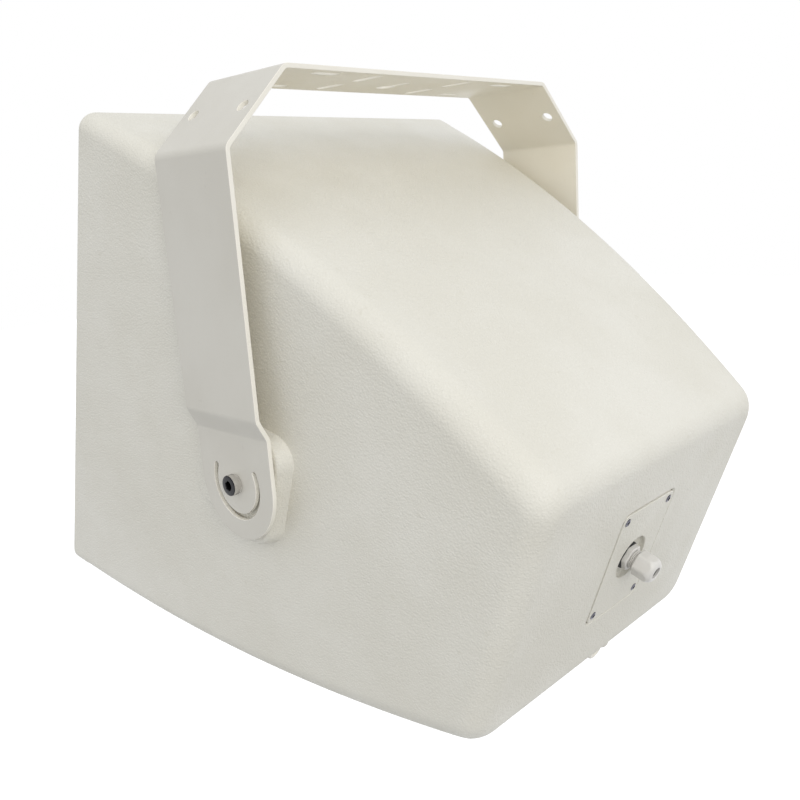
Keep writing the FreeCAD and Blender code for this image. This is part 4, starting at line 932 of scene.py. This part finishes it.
def make_yoke():
    runs, total = fold_runs()
    bm = cut_sheet(yoke_outlines(runs, total), YOKE_SHEET, YOKE_EDGE_RADIUS)
    bm.normal_update()
    for face in bm.faces:
        # Faces standing on edge are the sheet's cut edges and take the whitest coat as painted highlight
        if abs(face.normal.z) < FLAT_FACE_NORMAL:
            face.material_index = 2
        # Faces on the yoke's inside take the lighter, warmer copy of its paint, as painted bounce light
        elif face.normal.z > 0:
            face.material_index = 1
    for start, span, point, heading, curvature in runs:
        if curvature:
            cuts = max(3, int(span))
            for cut in range(cuts + 1):
                whole = bm.verts[:] + bm.edges[:] + bm.faces[:]
                bmesh.ops.bisect_plane(
                    bm, geom=whole, plane_co=(start + span * cut / cuts, 0, 0), plane_no=(1, 0, 0), dist=1e-4)
    for vert in bm.verts:
        vert.co = folded_point(runs, vert.co.x, vert.co.y, vert.co.z)
    yoke = place_piece("folded_yoke", bm, "yoke_paint", "yoke", "bracket")
    # Material 1 is the inside's painted bounce light, material 2 the cut edges' painted highlight
    for finish in ("yoke_inside_painted_bounce_light", "white_coat_and_edge_highlight"):
        yoke.data.materials.append(FINISHES[finish])
    even_normals(yoke)


# Pivot hardware

def make_pivot_hardware():
    """Low-head socket screws with knurled heads, and the washers under them."""
    def knurled(angle):
        step = round(angle / pi * PIVOT_KNURL_RIDGES)
        return PIVOT_HEAD_RADIUS - (PIVOT_KNURL_DEPTH if step % 2 else 0.0)

    top = PIVOT_HEAD_HEIGHT
    rim = PIVOT_HEAD_RADIUS
    socket = PIVOT_SOCKET_WIDTH
    screw = [
        (0, top - 4.2), (hexagon(socket - 0.3), top - 3.8), (hexagon(socket), top - 0.4),
        (hexagon(socket + 0.8, socket / 2 + 0.45), top), (rim - 0.9, top), (rim - 0.45, top - 0.12),
        (rim - 0.1, top - 0.55), (knurled, top - 0.9), (knurled, 0.7), (rim - 0.2, 0.2), (rim - 0.6, 0),
        (PIVOT_SHANK_RADIUS, 0), (PIVOT_SHANK_RADIUS, -PIVOT_SHANK_LENGTH), (0, -PIVOT_SHANK_LENGTH)]
    washer = washer_outline(PIVOT_HOLE_RADIUS, PIVOT_WASHER_RADIUS, PIVOT_WASHER_THICKNESS, WASHER_EDGE)
    seat = EAR_OUTER_X + PIVOT_WASHER_GAP
    for side, word in ((1, "right"), (-1, "left")):
        along = (side, 0, 0)
        at = (side * (seat + PIVOT_WASHER_THICKNESS), PIVOT_DEPTH, 0)
        bm = turn_outline(bmesh.new(), screw, 2 * PIVOT_KNURL_RIDGES, along, at)
        piece = place_piece("socket_screw_" + word, bm, "steel", "pivot_screw_" + word)
        # Second finish: black on the end face as painted reflection, and in the socket as painted shade
        piece.data.materials.append(FINISHES["black_steel"])
        paint_end_reflection_and_socket_shade(piece, at, along)
        at = (side * seat, PIVOT_DEPTH, 0)
        bm = turn_outline(bmesh.new(), washer, ROUND_STEPS, along, at, closed=True)
        place_piece("washer_" + word, bm, "steel", "pivot_washer_" + word)


def paint_end_reflection_and_socket_shade(piece, at, along):
    """Paint a steel socket screw's end face black as painted dark reflection, and its socket black as painted
    shade.
    """
    axis = (CABINET_FRAME.to_3x3() @ Vector(along)).normalized()
    seat = CABINET_FRAME @ Vector(at)
    for face in piece.data.polygons:
        height = (face.center - seat).dot(axis) / MM
        offset = (face.center - seat - axis * (height * MM)).length / MM
        on_end = height > PIVOT_HEAD_HEIGHT - 0.7
        in_socket = height > 1 and offset < PIVOT_HEAD_RADIUS - 1.5
        if on_end or in_socket:
            face.material_index = 1


# Rear plate, cable gland and safety anchor

PLATE_SCREW_PLACES = four_places(PLATE_SCREW_X, PLATE_SCREW_Z, PLATE_CENTRE_Z)


def make_rear_plate():
    outlines = [
        rounded_rectangle(PLATE_HALF_WIDTH, PLATE_HALF_HEIGHT, PLATE_CORNER_RADIUS, (0, PLATE_CENTRE_Z)),
        round_outline((0, PLATE_CENTRE_Z), CUP_RADIUS, CUP_STEPS)]
    for place in PLATE_SCREW_PLACES:
        outlines.append(round_outline(place, PLATE_SCREW_HEAD_RADIUS + PLATE_SCREW_FIT, 32))
    bm = cut_sheet(outlines, PLATE_THICKNESS, PLATE_EDGE_RADIUS)
    middle = Matrix.Translation((0, PLATE_FACE_Y - PLATE_THICKNESS / 2, 0))
    bmesh.ops.transform(bm, matrix=middle @ Matrix.Rotation(pi / 2, 4, "X"), verts=bm.verts)
    floor = -CUP_DEPTH
    under = floor - CUP_WALL
    bore = GLAND_THREAD_RADIUS + GLAND_FIT
    cup = [
        (bore, under), (bore, floor), (CUP_RADIUS - 2, floor), (CUP_RADIUS - 0.6, floor + 0.6),
        (CUP_RADIUS, floor + 2), (CUP_RADIUS, -2.25), (CUP_RADIUS + CUP_WALL, -2.9),
        (CUP_RADIUS + CUP_WALL, under)]
    turn_outline(bm, cup, CUP_STEPS, REARWARD, (0, PLATE_FACE_Y, PLATE_CENTRE_Z), closed=True)
    even_normals(place_piece("rear_plate", bm, "housing_plastic", "input_plate"))


def make_plate_screws():
    outline = cross_screw(PLATE_SCREW_HEAD_RADIUS, crown=0.5, shank=1.9, length=13, countersink=1.6)
    bm = screws_at(PLATE_SCREW_PLACES, PLATE_FACE_Y, REARWARD, outline)
    screws = place_piece("plate_cross_screws", bm, "black_steel", "plate_screws")
    screws.data.materials[0] = FINISHES["dark_zinc"]


def gland_turned(name, outline, steps, finish, node):
    """A turned piece of the cable gland, measured from the floor of the plate's cup."""
    at = (0, PLATE_FACE_Y - CUP_DEPTH, PLATE_CENTRE_Z)
    bm = turn_outline(bmesh.new(), outline, steps, REARWARD, at, closed=True)
    place_piece(name, bm, finish, node)


def make_gland():
    seal = GLAND_SEAL_THICKNESS
    thread = GLAND_THREAD_RADIUS
    bore = thread + GLAND_FIT
    washer = washer_outline(bore, GLAND_SEAL_RADIUS, seal, 0.4)
    gland_turned("gland_washer", washer, 60, "rubber", "gland_seal_washer")

    flange_end = seal + GLAND_FLANGE
    body_end = flange_end + GLAND_BODY_LENGTH
    nut_start = flange_end + GLAND_NUT_GAP
    corner = GLAND_WIDTH / sqrt(3)
    flange = hexagon(GLAND_WIDTH, corner - GLAND_CORNER_CUT)
    eased = hexagon(GLAND_WIDTH - GLAND_EASE, corner - GLAND_EASE)
    body = [
        (GLAND_BORE_RADIUS, -GLAND_SHANK_LENGTH), (thread, -GLAND_SHANK_LENGTH), (thread, seal),
        (eased, seal), (flange, seal + 0.5), (flange, flange_end - 0.6), (eased, flange_end),
        (thread + 1.3, flange_end)]
    for turn in range(GLAND_TURNS):
        for radius, share in ((-0.4, 0.1), (-0.4, 0.35), (0.9, 0.6), (0.9, 0.85)):
            body.append((thread + radius, flange_end + turn * GLAND_PITCH + share * GLAND_PITCH))
    body += [(thread - 0.2, nut_start + 2.6), (thread - 0.2, body_end), (GLAND_BORE_RADIUS, body_end)]
    gland_turned("gland_threaded_body", body, 72, "nylon", "gland_body")

    dome_start = nut_start + GLAND_DOME_START
    end = nut_start + GLAND_NUT_LENGTH
    mouth = GLAND_MOUTH_RADIUS
    dome_end_radius = mouth + GLAND_EASE
    nut = [(bore, nut_start + 0.3), (eased, nut_start), (flange, nut_start + 0.7), (flange, dome_start)]
    for step in range(GLAND_DOME_STEPS + 1):
        share = step / GLAND_DOME_STEPS
        dome = dome_end_radius + (corner - dome_end_radius) * sqrt(1 - share ** 2.2)
        limit = min(dome, corner - GLAND_CORNER_CUT)
        nut.append((hexagon(GLAND_WIDTH, limit), dome_start + (end - dome_start) * share))
    nut += [(mouth + 0.4, end + 0.05), (mouth, end - 0.4), (mouth, end - 6), (bore, end - 6)]
    gland_turned("gland_cap_nut", nut, 144, "nylon", "gland_dome_nut")

    inner = GLAND_CABLE_RADIUS
    outer = mouth - 0.05
    sleeve_start = nut_start + GLAND_SLEEVE_START
    sleeve = [(inner, sleeve_start), (outer, sleeve_start), (outer, end - 2.1), (outer - 0.3, end - 1.8),
              (inner + 0.3, end - 2.1), (inner, end - 2.6)]
    gland_turned("gland_rubber_sleeve", sleeve, 60, "rubber", "gland_seal")


def make_anchor():
    """The safety eye under the rear: a nylon washer, then a collared ring on a threaded shank."""
    at = (ANCHOR_X, ANCHOR_DEPTH, -ANCHOR_DROP)
    washer = washer_outline(ANCHOR_BORE_RADIUS, ANCHOR_WASHER_RADIUS, ANCHOR_WASHER_THICKNESS, WASHER_EDGE)
    bm = turn_outline(bmesh.new(), washer, EYE_STEPS, DOWN, at, closed=True)
    place_piece("anchor_ring", bm, "nylon", "anchor_washer")

    low = ANCHOR_WASHER_THICKNESS
    end = low + ANCHOR_COLLAR_THICKNESS
    radius = ANCHOR_COLLAR_RADIUS
    shank = [
        (0, -ANCHOR_SHANK_LENGTH), (ANCHOR_SHANK_RADIUS, -ANCHOR_SHANK_LENGTH), (ANCHOR_SHANK_RADIUS, low),
        (radius - 0.3, low), (radius, low + 0.3), (radius, end - 0.5), (radius - 0.5, end), (3.6, end + 0.5),
        (2.6, end + 1.6), (0, end + 1.7)]
    bm = turn_outline(bmesh.new(), shank, ROUND_STEPS, DOWN, at)
    middle = Vector(at) + Vector(DOWN) * (end + ANCHOR_EYE_RADIUS + ANCHOR_WIRE_RADIUS / 2)
    wire = round_outline((ANCHOR_EYE_RADIUS, 0), ANCHOR_WIRE_RADIUS, EYE_WIRE_STEPS)
    turn_outline(bm, wire, EYE_STEPS, REARWARD, middle, closed=True)
    eye = place_piece("safety_eye", bm, "yoke_paint", "anchor_eye")
    # The eye takes the whitest coat as its own white; on the yoke's edges the same coat is painted highlight
    eye.data.materials[0] = FINISHES["white_coat_and_edge_highlight"]


# Front grille

GRILLE_SCREW_PLACES = four_places(
    half_width(BAFFLE_FRONT) - WALL - FRONT_FIT - GRILLE_SCREW_INSET,
    FRONT_HALF_HEIGHT - WALL - FRONT_FIT - GRILLE_SCREW_INSET)


def cell_outline(x, z, field_x, field_z):
    """The hexagonal cell round a grille hole, corners and middles of its sides, held in the field."""
    points = []
    for step in range(GRILLE_HOLE_SIDES):
        angle = radians(90 + 360 * step / GRILLE_HOLE_SIDES)
        reach = GRILLE_PITCH / 2 if step % 2 else GRILLE_CELL_RADIUS
        px = min(max(x + reach * cos(angle), -field_x), field_x)
        pz = min(max(z + reach * sin(angle), -field_z), field_z)
        points.append((round(px, 4), round(pz, 4)))
    return points


def punch_cell(bm, x, z, cell):
    """A cell with its hole, whose front edge is eased."""
    hole = round_outline((x, z), GRILLE_HOLE_RADIUS, GRILLE_HOLE_SIDES, 90)
    edge = round_outline((x, z), GRILLE_HOLE_RADIUS + GRILLE_HOLE_EASE, GRILLE_HOLE_SIDES, 90)
    rings = ((cell, 0.0), (edge, 0.0), (hole, GRILLE_HOLE_EASE), (hole, GRILLE_SHEET))
    skin_rings(bm, [[(px, GRILLE_RECESS + sink, pz) for px, pz in ring] for ring, sink in rings])


def make_grille():
    """A perforated steel front: a staggered field of round holes in a plain border with turned-back edges."""
    half_x = half_width(GRILLE_RECESS) - WALL - FRONT_FIT
    half_z = half_height(GRILLE_RECESS) - WALL - FRONT_FIT
    field_x = half_x - GRILLE_BORDER
    field_z = half_z - GRILLE_BORDER
    row_step = GRILLE_PITCH * sqrt(3) / 2
    rows = int(field_z / row_step) + 2
    columns = int(field_x / GRILLE_PITCH) + 2
    screw_clear = GRILLE_SCREW_RADIUS + GRILLE_HOLE_RADIUS + 1.0
    bm = bmesh.new()
    for row in range(-rows, rows + 1):
        for column in range(-columns, columns + 1):
            x = (column + (0.5 if row % 2 else 0.0)) * GRILLE_PITCH
            z = row * row_step
            cell = cell_outline(x, z, field_x, field_z)
            if any(max(values) - min(values) < GRILLE_WELD for values in zip(*cell)):
                continue
            by_screw = any(hypot(x - sx, z - sz) < screw_clear for sx, sz in GRILLE_SCREW_PLACES)
            if by_screw or abs(x) + GRILLE_PITCH / 2 > field_x or abs(z) + GRILLE_CELL_RADIUS > field_z:
                plain = [point for step, point in enumerate(cell)
                         if cell[step - 1] != cell[(step + 1) % len(cell)]]
                bm.faces.new([bm.verts.new((px, GRILLE_RECESS, pz)) for px, pz in plain])
            else:
                punch_cell(bm, x, z, cell)
    bmesh.ops.remove_doubles(bm, verts=bm.verts, dist=GRILLE_WELD)

    joined = [edge for edge in bm.edges if edge.is_boundary and all(
        abs(v.co.x) > field_x - GRILLE_WELD or abs(v.co.z) > field_z - GRILLE_WELD for v in edge.verts)]
    border = []
    for inset, sink in GRILLE_EDGE_PROFILE:
        outline = rounded_rectangle(half_x - inset, half_z - inset, INNER_EDGE_RADIUS - inset)
        border.append([(x, GRILLE_RECESS + sink, z) for x, z in outline])
    ring = [bm.verts.new(point) for point in border[0]]
    joined += [bm.edges.new((ring[step - 1], ring[step])) for step in range(len(ring))]
    bmesh.ops.triangle_fill(bm, use_beauty=True, edges=joined)
    skin_rings(bm, border)
    bmesh.ops.remove_doubles(bm, verts=bm.verts, dist=GRILLE_WELD)
    place_piece("perforated_grille", bm, "grille_paint", "front_grille")


def make_grille_screws():
    outline = cross_screw(GRILLE_SCREW_RADIUS, crown=1.7, shank=2.0, length=11, countersink=0.05)
    bm = screws_at(GRILLE_SCREW_PLACES, GRILLE_RECESS, FORWARD, outline)
    place_piece("grille_cross_screws", bm, "black_steel", "grille_screws")


# Driver suspension

def make_spider():
    """The rolled cloth disc that centres the coil. In the loudspeaker its neck moves with the cone and its flange
    stays put; here it is drawn at rest and rides on no body.
    """
    middle = []
    for step in range(SPIDER_STEPS + 1):
        share = step / SPIDER_STEPS
        roll = SPIDER_ROLL_HEIGHT * sin(2 * pi * SPIDER_ROLLS * share)
        middle.append((SPIDER_NECK_RADIUS + (SPIDER_ROLLS_END_RADIUS - SPIDER_NECK_RADIUS) * share,
                       SPIDER_NECK_Y + (SPIDER_FLANGE_Y - SPIDER_NECK_Y) * share + roll))
    middle.append((SPIDER_FLANGE_RADIUS, SPIDER_FLANGE_Y))
    front = [(radius, y - SPIDER_HALF_THICKNESS) for radius, y in middle]
    back = [(radius, y + SPIDER_HALF_THICKNESS) for radius, y in reversed(middle)]
    bm = turn_outline(bmesh.new(), front + back, 72, REARWARD, (0, 0, 0), closed=True)
    spider = link("rolled_spider", mesh_in_frame("rolled_spider", bm, CABINET_FRAME))
    smooth_mesh(spider.data)
    spider.data.materials.append(FINISHES["paper"])
    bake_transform(spider)
    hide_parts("spider")


def dress_cad_nodes():
    """Give every CAD node that is still shown the finish of its slot in the record."""
    for subpart in frame["record"]["subparts"]:
        node = frame["nodes"][subpart["node"]]
        node.data.materials.clear()
        node.data.materials.append(FINISHES[subpart["material_slot"]])


# Stage

def white_to_the_camera(tree, lit, shown):
    """Mix two shaders: one lights the object, the other is what the camera, mirrors and glass show."""
    path = add_node(tree, "ShaderNodeLightPath")
    seen = math_node(tree, "MAXIMUM", path.outputs["Is Camera Ray"], path.outputs["Is Transmission Ray"])
    seen = math_node(tree, "MAXIMUM", seen, path.outputs["Is Glossy Ray"])
    return add_node(tree, "ShaderNodeMixShader", {0: seen, 1: lit, 2: shown}).outputs[0]


def make_world():
    world = bpy.data.worlds.new("studio")
    bpy.context.scene.world = world
    world.use_nodes = True
    tree = world.node_tree
    lit = tree.nodes["Background"]
    feed(tree, lit, {"Color": ROOM_COLOUR, "Strength": ROOM_LIGHT})
    shown = add_node(tree, "ShaderNodeBackground", {"Color": (1, 1, 1, 1), "Strength": 1.0})
    result = white_to_the_camera(tree, lit.outputs[0], shown.outputs[0])
    feed(tree, tree.nodes["World Output"], {"Surface": result})


def make_floor():
    """A wide pale floor well below the hung loudspeaker. It keeps the shadow and looks white where lit."""
    material = bpy.data.materials.new("studio_floor")
    material.use_nodes = True
    tree = material.node_tree
    shade = range_node(tree, noise_node(tree, 3.0, 3.0), 0.3, 0.7, *FLOOR_TONES)
    tint = add_node(tree, "ShaderNodeCombineColor", {"Red": shade, "Green": shade, "Blue": shade})
    shader = tree.nodes["Principled BSDF"]
    feed(tree, shader, {"Base Color": tint.outputs[0], "Roughness": FLOOR_ROUGHNESS})
    glow = add_node(tree, "ShaderNodeEmission", {"Strength": FLOOR_GLOW})
    both = add_node(tree, "ShaderNodeAddShader", {0: shader.outputs[0], 1: glow.outputs[0]})
    bounce = add_node(tree, "ShaderNodeBsdfDiffuse", {"Color": FLOOR_BOUNCE})
    result = white_to_the_camera(tree, bounce.outputs[0], both.outputs[0])
    feed(tree, tree.nodes["Material Output"], {"Surface": result})
    bm = bmesh.new()
    bmesh.ops.create_grid(bm, x_segments=8, y_segments=8, size=FLOOR_REACH)
    mesh = bpy.data.meshes.new("studio_floor")
    bm.to_mesh(mesh)
    bm.free()
    floor = link("studio_floor", mesh)
    floor.location = (0, 0, cad_low.z - FLOOR_DROP)
    mesh.materials.append(material)


def make_lamp(name, place, size, power, colour):
    lamp = bpy.data.lights.new(name, "AREA")
    lamp.shape = "DISK"
    lamp.size = size
    lamp.energy = power
    lamp.color = colour
    holder = link(name, lamp)
    holder.location = place
    holder.rotation_mode = "QUATERNION"
    holder.rotation_quaternion = (Vector(LAMP_TARGET) - Vector(place)).to_track_quat("-Z", "Y")


def make_camera():
    camera = bpy.data.cameras.new("photo_camera")
    camera.sensor_width = CAMERA_SENSOR
    camera.lens = CAMERA_LENS
    camera.clip_start = CAMERA_CLIP
    holder = link("photo_camera", camera)
    back = -Vector(CAMERA_FORWARD).normalized()
    across = Vector(CAMERA_RIGHT)
    across = (across - back * across.dot(back)).normalized()
    turn = Matrix((across, back.cross(across), back)).transposed().to_4x4()
    holder.matrix_world = Matrix.Translation(CAMERA_PLACE) @ turn
    bpy.context.scene.camera = holder


make_housing()
make_yoke()
make_pivot_hardware()
make_rear_plate()
make_plate_screws()
make_gland()
make_anchor()
make_grille()
make_grille_screws()
make_spider()
dress_cad_nodes()
make_world()
make_floor()
for lamp in LAMPS:
    make_lamp(*lamp)
make_camera()
bpy.context.scene.view_settings.view_transform = "Standard"
